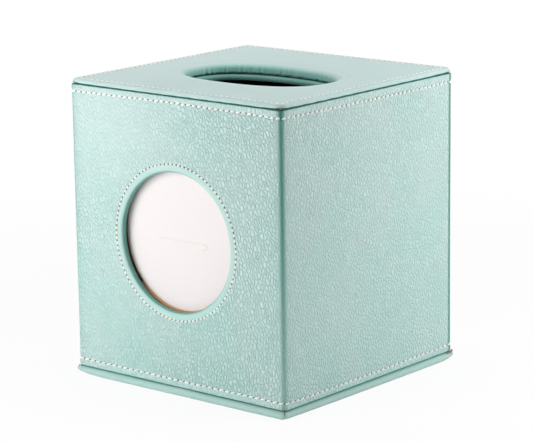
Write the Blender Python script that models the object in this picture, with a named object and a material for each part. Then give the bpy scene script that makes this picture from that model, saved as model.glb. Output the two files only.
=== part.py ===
# Tissue box cover: a leather-covered board box that tilts back from a leather-covered base.
# Metres, +Z up. The origin is the middle of the base's underside, and the round window faces -Y.

import math

import bmesh
import bpy
from mathutils import Matrix, Vector

# Overall sizes of the leather cover and of the whole part
COVER_WIDTH = 0.1300
COVER_DEPTH = 0.1300
TOTAL_HEIGHT = 0.1450

# Sheet thicknesses
SKIN = 0.0012
WALL_BOARD = 0.0022
TOP_BOARD = 0.0030
TOP_CARD = 0.0006
LINING = 0.0006

# Joints between sheets, and the shaping of their edges
GLUE_LINE = 0.0003
SEAM_GAP = 0.0005
SKIN_EDGE = 0.0004
HEM = 0.0006
BOARD_CORNER = 0.0010
LEAST_CORNER = 0.0003

# Top panel: how far its skin folds down over the edge, and the dispensing slot
TOP_FOLD = 0.0019
TOP_EDGE = 0.0010
SLOT_HALF_LENGTH = 0.0440
SLOT_HALF_WIDTH = 0.0285
SLOT_FORWARD = 0.0020
SLOT_BOARD_ROUND = 0.0025
SLOT_DROP = 0.0011

# Ring of thin leather round the ceiling board, below the slot
CEILING_BOARD = 0.0012
CEILING_LINING = 0.0005
TRIM_SKIN = 0.0006
TRIM_REACH = 0.0015
TRIM_FLANGE = 0.0100

# Round window in the front wall, with the card behind it
WINDOW_RADIUS = 0.0342
MOUNT_BOARD = 0.0009
MOUNT_SHY = 0.0001
WINDOW_CARD = 0.0004
CARD_SIDE = 0.0900
CARD_CORNER = 0.0030

# Base
BASE_REACH = 0.0013
BASE_CORNER = 0.0030
BASE_SKIN = 0.0009
BASE_BOARD = 0.0015
BASE_BOARD_EDGE = 0.0007
BASE_TURN_IN = 0.0140
BASE_LINING_MARGIN = 0.0010

# Leather hinge along the back, which stops short of where the corners start to turn
HINGE_SKIN = 0.0008
HINGE_END = 0.0035
HINGE_RISE = 0.0140
HINGE_HOLD = 0.0150
HINGE_SIDE_ROOM = 0.0005

# Magnets that hold the front of the cover down, each this far in from the side of the cover
MAGNET_INSET = 0.0300
MAGNET_LENGTH = 0.0200
WALL_MAGNET_HEIGHT = 0.0040
WALL_MAGNET_THICKNESS = 0.0016
BASE_MAGNET_WIDTH = 0.0040
BASE_MAGNET_THICKNESS = 0.0011

# How far a cutter runs past what it cuts, and the distance at which points count as one
OVERRUN = 0.0020
MERGE = 0.000001

# Counts and pure numbers
SLOT_SQUARENESS = 2.4
CORNER_STEPS = 4
SIDE_STEPS = 12
ROLL_STEPS = 5
WINDOW_STEPS = 64
SMOOTH_ANGLE = 35

# Levels of the base, and of the walls' feet on the skin's turned-in hem
BASE_TOP = 2 * BASE_SKIN + BASE_BOARD + 2 * GLUE_LINE
ON_BASE = BASE_TOP + GLUE_LINE
BASE_LINING_TOP = ON_BASE + LINING
HINGE_TOP = ON_BASE + HINGE_SKIN
HINGE_CLEAR = HINGE_TOP + GLUE_LINE
SKIN_FOOT = BASE_TOP + SEAM_GAP
HEM_TOP = SKIN_FOOT + HEM
WALL_FOOT = max(HEM_TOP + GLUE_LINE, HINGE_CLEAR)

# Levels of the top, from the outside down
TOP_SKIN_UNDER = TOTAL_HEIGHT - SKIN
TOP_FOLD_END = TOTAL_HEIGHT - TOP_FOLD
SKIN_TOP = TOP_FOLD_END - SEAM_GAP
CARD_TOP = TOP_SKIN_UNDER - GLUE_LINE
CARD_UNDER = CARD_TOP - TOP_CARD
TOP_BOARD_TOP = CARD_UNDER - GLUE_LINE
TOP_BOARD_UNDER = TOP_BOARD_TOP - TOP_BOARD
WALL_TOP = TOP_BOARD_UNDER - GLUE_LINE

# The slot's roll: board, underside of the leather and its outside share one centre
ROLL_INNER = SLOT_BOARD_ROUND + GLUE_LINE
ROLL_OUTER = ROLL_INNER + SKIN
ROLL_CENTRE = TOTAL_HEIGHT - ROLL_OUTER
ROLL_END = ROLL_CENTRE - SLOT_DROP

# Levels of the ceiling
TRIM_TOP = WALL_TOP
CEILING_TOP = TRIM_TOP - TRIM_SKIN - GLUE_LINE
CEILING_UNDER = CEILING_TOP - CEILING_BOARD
TRIM_UNDER = CEILING_UNDER - GLUE_LINE - TRIM_SKIN
TRIM_NOSE = (TRIM_TOP - TRIM_UNDER) / 2
TRIM_MIDDLE = TRIM_UNDER + TRIM_NOSE
TRIM_INSET = ROLL_OUTER + TRIM_REACH
CEILING_LINING_TOP = CEILING_UNDER - GLUE_LINE
CEILING_LINING_UNDER = CEILING_LINING_TOP - CEILING_LINING
PANEL_TOP = CEILING_LINING_UNDER - GLUE_LINE

# Half sizes in plan, from the skin inwards
SKIN_X = COVER_WIDTH / 2
SKIN_Y = COVER_DEPTH / 2
BOARD_X = SKIN_X - SKIN - GLUE_LINE
BOARD_Y = SKIN_Y - SKIN - GLUE_LINE
INSIDE_X = BOARD_X - WALL_BOARD
INSIDE_Y = BOARD_Y - WALL_BOARD
PANEL_X = INSIDE_X - GLUE_LINE
PANEL_Y = INSIDE_Y - GLUE_LINE
ROOM_X = PANEL_X - LINING
ROOM_BACK = PANEL_Y - LINING
SKIN_CORNER = BOARD_CORNER + GLUE_LINE + SKIN
HEM_REACH = SKIN_X - ROOM_X

# Depths of the sheets behind the window
MOUNT_BACK = -PANEL_Y + MOUNT_BOARD
CARD_FRONT = MOUNT_BACK + GLUE_LINE
CARD_BACK = CARD_FRONT + WINDOW_CARD
FRONT_LINING_FACE = CARD_BACK + GLUE_LINE
ROOM_FRONT = FRONT_LINING_FACE + LINING
WINDOW_HEIGHT = (SKIN_FOOT + SKIN_TOP) / 2
WINDOW_BORE = WINDOW_RADIUS + SKIN + GLUE_LINE

# The base in plan, and its round edge
BASE_X = SKIN_X + BASE_REACH
BASE_Y = SKIN_Y + BASE_REACH
BASE_EDGE_BOARD = min(BASE_BOARD_EDGE, BASE_BOARD / 2)
BASE_EDGE_INNER = BASE_EDGE_BOARD + GLUE_LINE
BASE_EDGE_OUTER = BASE_EDGE_INNER + BASE_SKIN
BASE_BOARD_INSET = BASE_SKIN + GLUE_LINE
BASE_BOARD_UNDER = BASE_SKIN + GLUE_LINE
BASE_BOARD_TOP = BASE_BOARD_UNDER + BASE_BOARD

# The hinge folds round the foot of the back skin, and turns about the middle of its own leather
HINGE_FRONT = SKIN_Y - HINGE_HOLD
CORNER_X = SKIN_X - SKIN_CORNER
HINGE_X = CORNER_X - HINGE_END
NOTCH_X = HINGE_X + HINGE_SIDE_ROOM
SEAM_X = -(NOTCH_X + CORNER_X) / 2
PIVOT = Vector((0, SKIN_Y + GLUE_LINE + HINGE_SKIN / 2, ON_BASE + HINGE_SKIN / 2))

# The wall magnets hang at the front board's foot, over the ones in the base
MAGNET_X = SKIN_X - MAGNET_INSET
MAGNET_Y = -(BOARD_Y + INSIDE_Y) / 2
WALL_MAGNET_TOP = WALL_FOOT + WALL_MAGNET_HEIGHT


def rounded_rectangle(half_x, half_y, radius, side_steps=1):
    # Points round a rectangle with round corners, anticlockwise from +X.
    # Their number depends only on the steps, so rings of any size can be joined.
    arcs = []
    for sign_x, sign_y, start in ((1, 1, 0), (-1, 1, 90), (-1, -1, 180), (1, -1, 270)):
        arc = []
        for step in range(CORNER_STEPS + 1):
            angle = math.radians(start + 90 * step / CORNER_STEPS)
            x = sign_x * (half_x - radius) + radius * math.cos(angle)
            y = sign_y * (half_y - radius) + radius * math.sin(angle)
            arc.append((x, y))
        arcs.append(arc)
    points = []
    for index, arc in enumerate(arcs):
        points += arc
        start = Vector(arc[-1])
        end = Vector(arcs[(index + 1) % 4][0])
        points += [tuple(start.lerp(end, step / side_steps)) for step in range(1, side_steps)]
    return points


def cover_loop(inset, side_steps=1):
    # The cover's outline, drawn in by an inset.
    corner = max(SKIN_CORNER - inset, LEAST_CORNER)
    return rounded_rectangle(SKIN_X - inset, SKIN_Y - inset, corner, side_steps)


def base_loop(inset):
    # The base's outline, drawn in by an inset.
    corner = max(BASE_CORNER - inset, LEAST_CORNER)
    return rounded_rectangle(BASE_X - inset, BASE_Y - inset, corner)


def slot_loop(inset):
    # The slot's outline, a superellipse drawn in by an inset, closest set at its tight ends.
    # It has as many points as the top's outline, with the same one on the first diagonal.
    half_x = SLOT_HALF_LENGTH - inset
    half_y = SLOT_HALF_WIDTH - inset
    count = 4 * (CORNER_STEPS + SIDE_STEPS)
    points = []
    for index in range(count):
        angle = math.radians(45) + math.tau * (index - CORNER_STEPS / 2) / count
        along = abs(math.cos(angle)) ** (2 / SLOT_SQUARENESS)
        across = abs(math.sin(angle)) ** (2 / SLOT_SQUARENESS)
        x = math.copysign(half_x * along, math.cos(angle))
        y = math.copysign(half_y * across, math.sin(angle))
        points.append((x, y - SLOT_FORWARD))
    return points


def circle(radius, middle_v):
    # Points round a circle, starting at 45 degrees so that quarters end at the diagonals.
    points = []
    for step in range(WINDOW_STEPS):
        angle = math.radians(45 + 360 * step / WINDOW_STEPS)
        points.append((radius * math.cos(angle), middle_v + radius * math.sin(angle)))
    return points


def arc(centre_u, centre_v, radius, start, end, steps=ROLL_STEPS):
    # Points of an arc, from one angle in degrees to another.
    points = []
    for step in range(steps + 1):
        angle = math.radians(start + (end - start) * step / steps)
        points.append((centre_u + radius * math.cos(angle), centre_v + radius * math.sin(angle)))
    return points


def rectangle(low_u, high_u, low_v, high_v):
    return [(low_u, low_v), (high_u, low_v), (high_u, high_v), (low_u, high_v)]


def at_level(loop, z):
    return [(x, y, z) for x, y in loop]


def loft(bm, loops, closed):
    # Faces between neighbouring loops with equally many points.
    # A closed loft joins its last loop to its first, and an open one is capped at both ends.
    rings = [[bm.verts.new(point) for point in loop] for loop in loops]
    pairs = list(zip(rings, rings[1:]))
    if closed:
        pairs.append((rings[-1], rings[0]))
    for first, second in pairs:
        for i in range(len(first)):
            bm.faces.new((first[i - 1], first[i], second[i], second[i - 1]))
    if not closed:
        bm.faces.new(rings[0])
        bm.faces.new(rings[-1])


def extrude_outline(bm, outline, holes, low, high, axes):
    # A sheet cut to an outline with holes, between two levels of the third axis.
    # axes names where the outline's two directions and the thickness point, such as "xzy".
    places = ["xyz".index(axis) for axis in axes]
    levels = []
    for level in (low, high):
        rings = []
        edges = []
        for loop in [outline] + holes:
            ring = []
            for u, v in loop:
                point = [0, 0, 0]
                for place, value in zip(places, (u, v, level)):
                    point[place] = value
                ring.append(bm.verts.new(point))
            rings.append(ring)
            edges += [bm.edges.new((ring[i - 1], ring[i])) for i in range(len(ring))]
        bmesh.ops.triangle_fill(bm, use_beauty=True, edges=edges)
        levels.append(rings)
    for first, second in zip(*levels):
        for i in range(len(first)):
            bm.faces.new((first[i - 1], first[i], second[i], second[i - 1]))


def block(bm, low_x, high_x, low_y, high_y, low_z, high_z):
    extrude_outline(bm, rectangle(low_x, high_x, low_y, high_y), [], low_z, high_z, "xyz")


def make_material(name, colour, roughness, metallic=0):
    material = bpy.data.materials.new(name)
    material.use_nodes = True
    shader = material.node_tree.nodes["Principled BSDF"]
    shader.inputs["Base Color"].default_value = (*colour, 1)
    shader.inputs["Roughness"].default_value = roughness
    shader.inputs["Metallic"].default_value = metallic
    material.diffuse_color = (*colour, 1)
    return material


def make_object(bm, name, material, body):
    # One closed piece that rides on a body, with its faces outwards and its flats kept sharp.
    bmesh.ops.remove_doubles(bm, verts=bm.verts[:], dist=MERGE)
    bmesh.ops.recalc_face_normals(bm, faces=bm.faces[:])
    mesh = bpy.data.meshes.new(name)
    bm.to_mesh(mesh)
    bm.free()
    mesh.shade_smooth()
    mesh.set_sharp_from_angle(angle=math.radians(SMOOTH_ANGLE))
    if material is not None:
        mesh.materials.append(material)
    piece = bpy.data.objects.new(name, mesh)
    bpy.context.scene.collection.objects.link(piece)
    piece.parent = body
    piece.matrix_parent_inverse = Matrix.Translation(body.location).inverted()
    return piece


def cut_away(piece, bm):
    # Takes the shapes in bm out of the piece, with a hidden cutter.
    cutter = make_object(bm, piece.name + "_cutter", None, piece.parent)
    cutter.hide_render = True
    cutter.display_type = "WIRE"
    modifier = piece.modifiers.new("Cut", "BOOLEAN")
    modifier.operation = "DIFFERENCE"
    modifier.solver = "EXACT"
    modifier.object = cutter


def make_panel(name, material, body, low_x, high_x, low_y, high_y, low_z, high_z):
    bm = bmesh.new()
    block(bm, low_x, high_x, low_y, high_y, low_z, high_z)
    return make_object(bm, name, material, body)


def pierce(bm, centre, ring):
    # Opens the flat face round a centre to a ring of points, with four faces from
    # quarter to quarter, each reaching one edge of the old face.
    face = min(bm.faces, key=lambda each: (each.calc_center_median() - centre).length)
    corners = sorted(face.verts, key=lambda vert: math.atan2(vert.co.z - centre.z, vert.co.x) % math.tau)
    bmesh.ops.delete(bm, geom=[face], context="FACES_ONLY")
    quarter = len(ring) // 4
    for index in range(4):
        stretch = [ring[(index * quarter + step) % len(ring)] for step in range(quarter + 1)]
        bm.faces.new([corners[index], corners[(index + 1) % 4]] + stretch[::-1])


def make_base(leather, board, cloth, steel, body):
    # The skin wraps the base board from below and turns in over its top edge.
    under = arc(BASE_EDGE_OUTER, BASE_EDGE_OUTER, BASE_EDGE_OUTER, 270, 180)
    over = arc(BASE_EDGE_OUTER, BASE_TOP - BASE_EDGE_OUTER, BASE_EDGE_OUTER, 180, 90)
    turn_in = [(BASE_TURN_IN, BASE_TOP), (BASE_TURN_IN, BASE_TOP - BASE_SKIN)]
    inner_over = arc(BASE_EDGE_OUTER, BASE_TOP - BASE_EDGE_OUTER, BASE_EDGE_INNER, 90, 180)
    inner_under = arc(BASE_EDGE_OUTER, BASE_EDGE_OUTER, BASE_EDGE_INNER, 180, 270)
    profile = under + over + turn_in + inner_over + inner_under
    bm = bmesh.new()
    loft(bm, [at_level(base_loop(inset), z) for inset, z in profile], closed=False)
    make_object(bm, "base_leather", leather, body)

    edge = BASE_EDGE_BOARD
    middle = BASE_BOARD_INSET + edge
    profile = arc(middle, BASE_BOARD_UNDER + edge, edge, 270, 180)
    profile += arc(middle, BASE_BOARD_TOP - edge, edge, 180, 90)
    bm = bmesh.new()
    loft(bm, [at_level(base_loop(inset), z) for inset, z in profile], closed=False)
    base_board = make_object(bm, "base_board", board, body)

    side = ROOM_X - BASE_LINING_MARGIN
    front = ROOM_FRONT + BASE_LINING_MARGIN
    back = HINGE_FRONT - GLUE_LINE
    make_panel("base_lining", cloth, body, -side, side, front, back, ON_BASE, BASE_LINING_TOP)

    # Each magnet lies in a pocket through the board, under the turned-in skin.
    pockets = bmesh.new()
    middle = (BASE_BOARD_UNDER + BASE_BOARD_TOP) / 2
    for sign, word in ((-1, "left"), (1, "right")):
        half_x = MAGNET_LENGTH / 2
        half_y = BASE_MAGNET_WIDTH / 2
        half_z = BASE_MAGNET_THICKNESS / 2
        x = sign * MAGNET_X
        make_panel("base_magnet_" + word, steel, body, x - half_x, x + half_x,
                   MAGNET_Y - half_y, MAGNET_Y + half_y, middle - half_z, middle + half_z)
        half_x += GLUE_LINE
        half_y += GLUE_LINE
        block(pockets, x - half_x, x + half_x, MAGNET_Y - half_y, MAGNET_Y + half_y,
              BASE_BOARD_UNDER - OVERRUN, BASE_BOARD_TOP + OVERRUN)
    cut_away(base_board, pockets)


def make_hinge(leather, body):
    # One strip of leather: glued to the base in front, folded up behind the back wall.
    outer_fold = arc(SKIN_Y, HINGE_CLEAR, GLUE_LINE + HINGE_SKIN, 270, 360)
    inner_fold = arc(SKIN_Y, HINGE_CLEAR, GLUE_LINE, 360, 270)
    top = HINGE_CLEAR + HINGE_RISE
    outline = [(HINGE_FRONT, ON_BASE)] + outer_fold
    outline += [(SKIN_Y + GLUE_LINE + HINGE_SKIN, top), (SKIN_Y + GLUE_LINE, top)]
    outline += inner_fold + [(HINGE_FRONT, HINGE_TOP)]
    bm = bmesh.new()
    extrude_outline(bm, outline, [], -HINGE_X, HINGE_X, "yzx")
    make_object(bm, "hinge_strip", leather, body)


def end_wall_plan(facing):
    # The front (-1) or back (1) board in plan: square inside, its outer corners rounded.
    edge = BOARD_CORNER
    corner_x = BOARD_X - edge
    corner_y = BOARD_Y - edge
    right = arc(corner_x, corner_y, edge, 0, 90, CORNER_STEPS)
    left = arc(-corner_x, corner_y, edge, 90, 180, CORNER_STEPS)
    plan = [(BOARD_X, INSIDE_Y)] + right + left + [(-BOARD_X, INSIDE_Y)]
    return [(x, facing * y) for x, y in plan]


def make_walls(board, cloth, steel, body):
    bm = bmesh.new()
    extrude_outline(bm, end_wall_plan(-1), [], WALL_FOOT, WALL_TOP, "xyz")
    front_board = make_object(bm, "front_board", board, body)

    bm = bmesh.new()
    extrude_outline(bm, end_wall_plan(1), [], WALL_FOOT, WALL_TOP, "xyz")
    make_object(bm, "back_board", board, body)

    for sign, word in ((-1, "left"), (1, "right")):
        low_x, high_x = sorted((sign * INSIDE_X, sign * BOARD_X))
        end = INSIDE_Y - GLUE_LINE
        make_panel(word + "_board", board, body, low_x, high_x, -end, end, WALL_FOOT, WALL_TOP)
        low_x, high_x = sorted((sign * ROOM_X, sign * PANEL_X))
        make_panel(word + "_lining", cloth, body, low_x, high_x, MOUNT_BACK + GLUE_LINE, PANEL_Y,
                   WALL_FOOT, PANEL_TOP)
    half = ROOM_X - GLUE_LINE
    make_panel("back_lining", cloth, body, -half, half, ROOM_BACK, PANEL_Y, WALL_FOOT, PANEL_TOP)
    make_panel("front_lining", cloth, body, -half, half, FRONT_LINING_FACE, ROOM_FRONT, WALL_FOOT, PANEL_TOP)

    # The window's bore, and a notch for each magnet, go right through the front board.
    cutter = bmesh.new()
    low_y = -BOARD_Y - OVERRUN
    high_y = -INSIDE_Y + OVERRUN
    extrude_outline(cutter, circle(WINDOW_BORE, WINDOW_HEIGHT), [], low_y, high_y, "xzy")
    for sign, word in ((-1, "left"), (1, "right")):
        half_x = MAGNET_LENGTH / 2
        half_y = WALL_MAGNET_THICKNESS / 2
        x = sign * MAGNET_X
        make_panel("wall_magnet_" + word, steel, body, x - half_x, x + half_x,
                   MAGNET_Y - half_y, MAGNET_Y + half_y, WALL_FOOT, WALL_MAGNET_TOP)
        half_x += GLUE_LINE
        block(cutter, x - half_x, x + half_x, low_y, high_y, WALL_FOOT - OVERRUN, WALL_MAGNET_TOP + GLUE_LINE)
    cut_away(front_board, cutter)


def make_window(kraft, card, body):
    # A bare board ring whose cut edge shows inside the window, and the card behind it.
    bm = bmesh.new()
    outline = rectangle(-PANEL_X, PANEL_X, WALL_FOOT, PANEL_TOP)
    hole = circle(WINDOW_RADIUS + MOUNT_SHY, WINDOW_HEIGHT)
    extrude_outline(bm, outline, [hole], -PANEL_Y, MOUNT_BACK, "xzy")
    make_object(bm, "window_mount", kraft, body)

    bm = bmesh.new()
    corners = rounded_rectangle(CARD_SIDE / 2, CARD_SIDE / 2, CARD_CORNER)
    outline = [(x, WINDOW_HEIGHT + z) for x, z in corners]
    extrude_outline(bm, outline, [], CARD_FRONT, CARD_BACK, "xzy")
    make_object(bm, "window_card", card, body)


def make_side_leather(leather, body):
    # One strip round the four walls, with softened edges, hemmed in under the boards.
    edge = SKIN_EDGE
    profile = [(SKIN, HEM_TOP), (HEM_REACH, HEM_TOP), (HEM_REACH, SKIN_FOOT)]
    profile += arc(edge, SKIN_FOOT + edge, edge, 270, 180, 2)
    profile += arc(edge, SKIN_TOP - edge, edge, 180, 90, 2) + [(SKIN, SKIN_TOP)]
    bm = bmesh.new()
    loft(bm, [at_level(cover_loop(inset), z) for inset, z in profile], closed=True)

    # At the window the strip turns in through the bore and ends level with the board's back.
    bend = GLUE_LINE + SKIN
    bend_y = -SKIN_Y + bend
    rim = arc(WINDOW_RADIUS + bend, bend_y, bend, 270, 180)
    rim += [(WINDOW_RADIUS, -INSIDE_Y), (WINDOW_RADIUS + SKIN, -INSIDE_Y)]
    rim += arc(WINDOW_RADIUS + bend, bend_y, GLUE_LINE, 180, 270, 2)
    rings = [[bm.verts.new((x, y, z)) for x, z in circle(radius, WINDOW_HEIGHT)] for radius, y in rim]
    pierce(bm, Vector((0, -SKIN_Y, WINDOW_HEIGHT)), rings[0])
    pierce(bm, Vector((0, -SKIN_Y + SKIN, WINDOW_HEIGHT)), rings[-1])
    for first, second in zip(rings, rings[1:]):
        for i in range(len(first)):
            bm.faces.new((first[i - 1], first[i], second[i], second[i - 1]))
    side_leather = make_object(bm, "side_leather", leather, body)

    # The strip's ends meet on the back wall beside the notch in its foot for the hinge.
    low_y = SKIN_Y - HEM_REACH - OVERRUN
    high_y = SKIN_Y + OVERRUN
    cutter = bmesh.new()
    block(cutter, -NOTCH_X, NOTCH_X, low_y, high_y, SKIN_FOOT - OVERRUN, HINGE_CLEAR)
    block(cutter, SEAM_X - SEAM_GAP / 2, SEAM_X + SEAM_GAP / 2, low_y, high_y,
          SKIN_FOOT - OVERRUN, SKIN_TOP + OVERRUN)
    cut_away(side_leather, cutter)


def make_top(leather, board, card, body):
    # The skin folds down over the panel's edge and rolls down into the slot.
    fold = [(SKIN, TOP_FOLD_END), (0, TOP_FOLD_END)]
    fold += arc(TOP_EDGE, TOTAL_HEIGHT - TOP_EDGE, TOP_EDGE, 180, 90, 3)
    roll = arc(0, ROLL_CENTRE, ROLL_OUTER, 90, 0)
    roll += [(ROLL_OUTER, ROLL_END), (ROLL_INNER, ROLL_END)]
    roll += arc(0, ROLL_CENTRE, ROLL_INNER, 0, 90)
    loops = [at_level(cover_loop(inset, SIDE_STEPS), z) for inset, z in fold]
    loops += [at_level(slot_loop(inset), z) for inset, z in roll]
    loops += [at_level(cover_loop(SKIN, SIDE_STEPS), TOP_SKIN_UNDER)]
    bm = bmesh.new()
    loft(bm, loops, closed=True)
    make_object(bm, "top_leather", leather, body)

    outline = cover_loop(SKIN + GLUE_LINE, SIDE_STEPS)
    bm = bmesh.new()
    extrude_outline(bm, outline, [slot_loop(0)], CARD_UNDER, CARD_TOP, "xyz")
    make_object(bm, "top_card", card, body)

    # The board's edge round the slot is rounded as far up as the board goes.
    rise = min(max(TOP_BOARD_TOP - ROLL_CENTRE, 0), SLOT_BOARD_ROUND)
    end = math.degrees(math.asin(rise / SLOT_BOARD_ROUND))
    edge = [(SLOT_BOARD_ROUND, TOP_BOARD_UNDER)] + arc(0, ROLL_CENTRE, SLOT_BOARD_ROUND, 0, end, 3)
    loops = [at_level(slot_loop(inset), z) for inset, z in edge]
    loops += [at_level(outline, TOP_BOARD_TOP), at_level(outline, TOP_BOARD_UNDER)]
    bm = bmesh.new()
    loft(bm, loops, closed=True)
    make_object(bm, "top_board", board, body)


def make_ceiling(leather, board, cloth, body):
    # The board under the top, whose slot edge is wrapped in thin leather.
    outline = rectangle(-PANEL_X, PANEL_X, -PANEL_Y, PANEL_Y)
    start = TRIM_INSET - TRIM_NOSE
    bm = bmesh.new()
    extrude_outline(bm, outline, [slot_loop(start)], CEILING_UNDER, CEILING_TOP, "xyz")
    make_object(bm, "ceiling_board", board, body)

    flange = TRIM_INSET - TRIM_FLANGE
    inner = TRIM_NOSE - TRIM_SKIN
    profile = [(flange, TRIM_TOP)] + arc(start, TRIM_MIDDLE, TRIM_NOSE, 90, -90, 6)
    profile += [(flange, TRIM_UNDER), (flange, TRIM_UNDER + TRIM_SKIN)]
    profile += arc(start, TRIM_MIDDLE, inner, -90, 90, 4) + [(flange, TRIM_TOP - TRIM_SKIN)]
    bm = bmesh.new()
    loft(bm, [at_level(slot_loop(inset), z) for inset, z in profile], closed=True)
    make_object(bm, "slot_trim", leather, body)

    bm = bmesh.new()
    hole = slot_loop(flange - GLUE_LINE)
    extrude_outline(bm, outline, [hole], CEILING_LINING_UNDER, CEILING_LINING_TOP, "xyz")
    make_object(bm, "ceiling_lining", cloth, body)


def make_body(name, place):
    # An empty that carries the pieces of one rigid body.
    empty = bpy.data.objects.new(name, None)
    empty.location = place
    bpy.context.scene.collection.objects.link(empty)
    return empty


def main():
    for piece in list(bpy.data.objects):
        bpy.data.objects.remove(piece, do_unlink=True)

    leather = make_material("mint_leather", (0.50, 0.72, 0.68), 0.55)
    base_hide = make_material("base_leather", (0.44, 0.66, 0.61), 0.58)
    thin_leather = make_material("thin_leather", (0.36, 0.60, 0.55), 0.60)
    board = make_material("grey_board", (0.42, 0.38, 0.32), 0.90)
    kraft = make_material("kraft_board", (0.46, 0.24, 0.10), 0.88)
    card = make_material("white_card", (0.88, 0.86, 0.85), 0.70)
    cloth = make_material("lining_cloth", (0.030, 0.045, 0.042), 0.85)
    steel = make_material("plated_magnet", (0.62, 0.62, 0.60), 0.30, 1)

    base = make_body("base", (0, 0, 0))
    cover = make_body("cover", PIVOT)

    make_base(base_hide, board, cloth, steel, base)
    make_hinge(base_hide, base)
    make_walls(board, cloth, steel, cover)
    make_window(kraft, card, cover)
    make_side_leather(leather, cover)
    make_top(leather, board, card, cover)
    make_ceiling(thin_leather, board, cloth, cover)


main()
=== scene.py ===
import math

import bpy
import numpy as np
from mathutils import Matrix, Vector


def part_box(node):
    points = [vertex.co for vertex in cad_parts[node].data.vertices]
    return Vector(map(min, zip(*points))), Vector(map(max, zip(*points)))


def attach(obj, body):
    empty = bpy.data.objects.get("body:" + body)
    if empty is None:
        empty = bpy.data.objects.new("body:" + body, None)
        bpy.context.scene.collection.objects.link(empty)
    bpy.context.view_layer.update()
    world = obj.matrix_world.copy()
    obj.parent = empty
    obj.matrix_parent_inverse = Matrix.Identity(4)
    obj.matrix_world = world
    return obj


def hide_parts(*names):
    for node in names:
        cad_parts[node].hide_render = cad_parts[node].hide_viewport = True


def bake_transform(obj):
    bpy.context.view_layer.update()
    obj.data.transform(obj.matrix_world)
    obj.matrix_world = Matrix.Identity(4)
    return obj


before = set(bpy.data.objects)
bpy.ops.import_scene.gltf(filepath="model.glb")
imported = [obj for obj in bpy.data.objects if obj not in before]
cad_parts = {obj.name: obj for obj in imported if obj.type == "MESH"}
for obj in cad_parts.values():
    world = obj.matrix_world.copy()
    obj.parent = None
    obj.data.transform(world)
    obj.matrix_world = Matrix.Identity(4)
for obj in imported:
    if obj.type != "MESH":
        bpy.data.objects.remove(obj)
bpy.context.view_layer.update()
mm = 0.001
print("frame loaded:", len(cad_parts), "solids")

# Sizes that several pieces share, as they are in the solids.
box = {
    "half": 65 * mm,            # outside of the wall leather
    "corner": 2.5 * mm,
    "height": 145 * mm,
    "skin": 1.2 * mm,
    "windowHeight": 73.5 * mm,
    "slotHalf": (44 * mm, 28.5 * mm),
    "slotForward": 2 * mm,
    "slotSquareness": 2.4,
    "slotRound": 230 * mm,      # about the way round the slot
}


def smoothStep(value, low, high):
    # 0 below low, 1 above high, and 3t² - 2t³ between them
    t = np.clip((value - low) / (high - low), 0, 1)
    return t * t * (3 - 2 * t)


def bell(value, width):
    # exp(-(value / width)²)
    return np.exp(-(value / width) ** 2)


def ripple(turn, lowest, highest, seed, count=14):
    # Sum of sines with whole numbers of waves in one turn, so it closes on itself. About -1 to 1.
    chance = np.random.RandomState(seed)
    waves = chance.randint(lowest, highest + 1, count)
    phases = chance.uniform(0, math.tau, count)
    sizes = chance.uniform(0.5, 1, count)
    total = sum(size * np.sin(math.tau * wave * turn + phase) for wave, phase,
                size in zip(waves, phases, sizes))
    return total / (0.75 * math.sqrt(count))


def columnsAt(along, half, corner):
    # Columns of a square with round corners, at distances along its outline. It starts in the middle of
    # the corner at -x -y and runs anticlockwise. A column is a corner of the straight-sided square (-1 to 1)
    # and the direction in which the outline faces there.
    arcHalf = corner * math.pi / 4
    straight = 2 * (half - corner)
    side = straight + 2 * arcHalf
    local = np.mod(along, side)
    quarter = np.floor_divide(along, side)
    angle = (math.radians(225) + (np.clip(local, 0, arcHalf) + np.clip(local - arcHalf - straight, 0, arcHalf))
             / corner)
    x = -1 + 2 * np.clip((local - arcHalf) / straight, 0, 1)
    y = -np.ones_like(x)
    turn = quarter * math.pi / 2
    middle = np.stack([x * np.cos(turn) - y * np.sin(turn), x * np.sin(turn) + y * np.cos(turn)], -1)
    facing = np.stack([np.cos(angle + turn), np.sin(angle + turn)], -1)
    return middle, facing


def outlineAt(columns, half, corner, inset, leastCorner=0.3 * mm):
    # Places of the columns on the outline drawn in by an inset: middle x (half - inset - radius) + facing x
    # radius
    middle, facing = columns
    inset = np.asarray(inset, float)[..., None]
    radius = np.maximum(corner - inset, leastCorner)
    return middle * (half - inset - radius) + facing * radius


def sideLength(half, corner):
    return 2 * (half - corner) + corner * math.pi / 2


def columnPlaces(half, corner, perSide, cornerSteps):
    # Distances along the outline: even steps on the straights, closer ones round the corners.
    side = sideLength(half, corner)
    arcHalf = corner * math.pi / 4
    inner = np.arange(perSide + 1) * side / perSide
    inner = inner[(inner > 1.15 * arcHalf) & (inner < side - 1.15 * arcHalf)]
    turning = np.linspace(0, arcHalf, cornerSteps + 1)
    local = np.concatenate([turning, inner, side - turning[:0:-1]])
    return np.concatenate([local + quarter * side for quarter in range(4)])


def slotAt(count, inset):
    # The slot's outline, a superellipse drawn in by an inset, with its first point at the corner at -x -y.
    angle = math.radians(225) + math.tau * np.arange(count + 1) / count
    inset = np.asarray(inset, float)
    power = 2 / box["slotSquareness"]
    cosine = np.cos(angle)
    sine = np.sin(angle)
    x = (box["slotHalf"][0] - inset) * np.sign(cosine) * np.abs(cosine) ** power
    y = (box["slotHalf"][1] - inset) * np.sign(sine) * np.abs(sine) ** power
    return np.stack([x, y - box["slotForward"]], -1)


def gridFaces(shape, start):
    # Four-sided faces between neighbouring points of grids (..., rows, columns) numbered in order
    number = start + np.arange(np.prod(shape)).reshape(shape)
    return np.stack([number[..., :-1, :-1], number[..., :-1, 1:], number[..., 1:, 1:], number[..., 1:, :-1]],
                    -1).reshape(-1, 4)


def runOf(steps):
    # Distance gone at each point of a line, from the lengths of its steps
    return np.concatenate([[0], np.cumsum(steps)])


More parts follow.
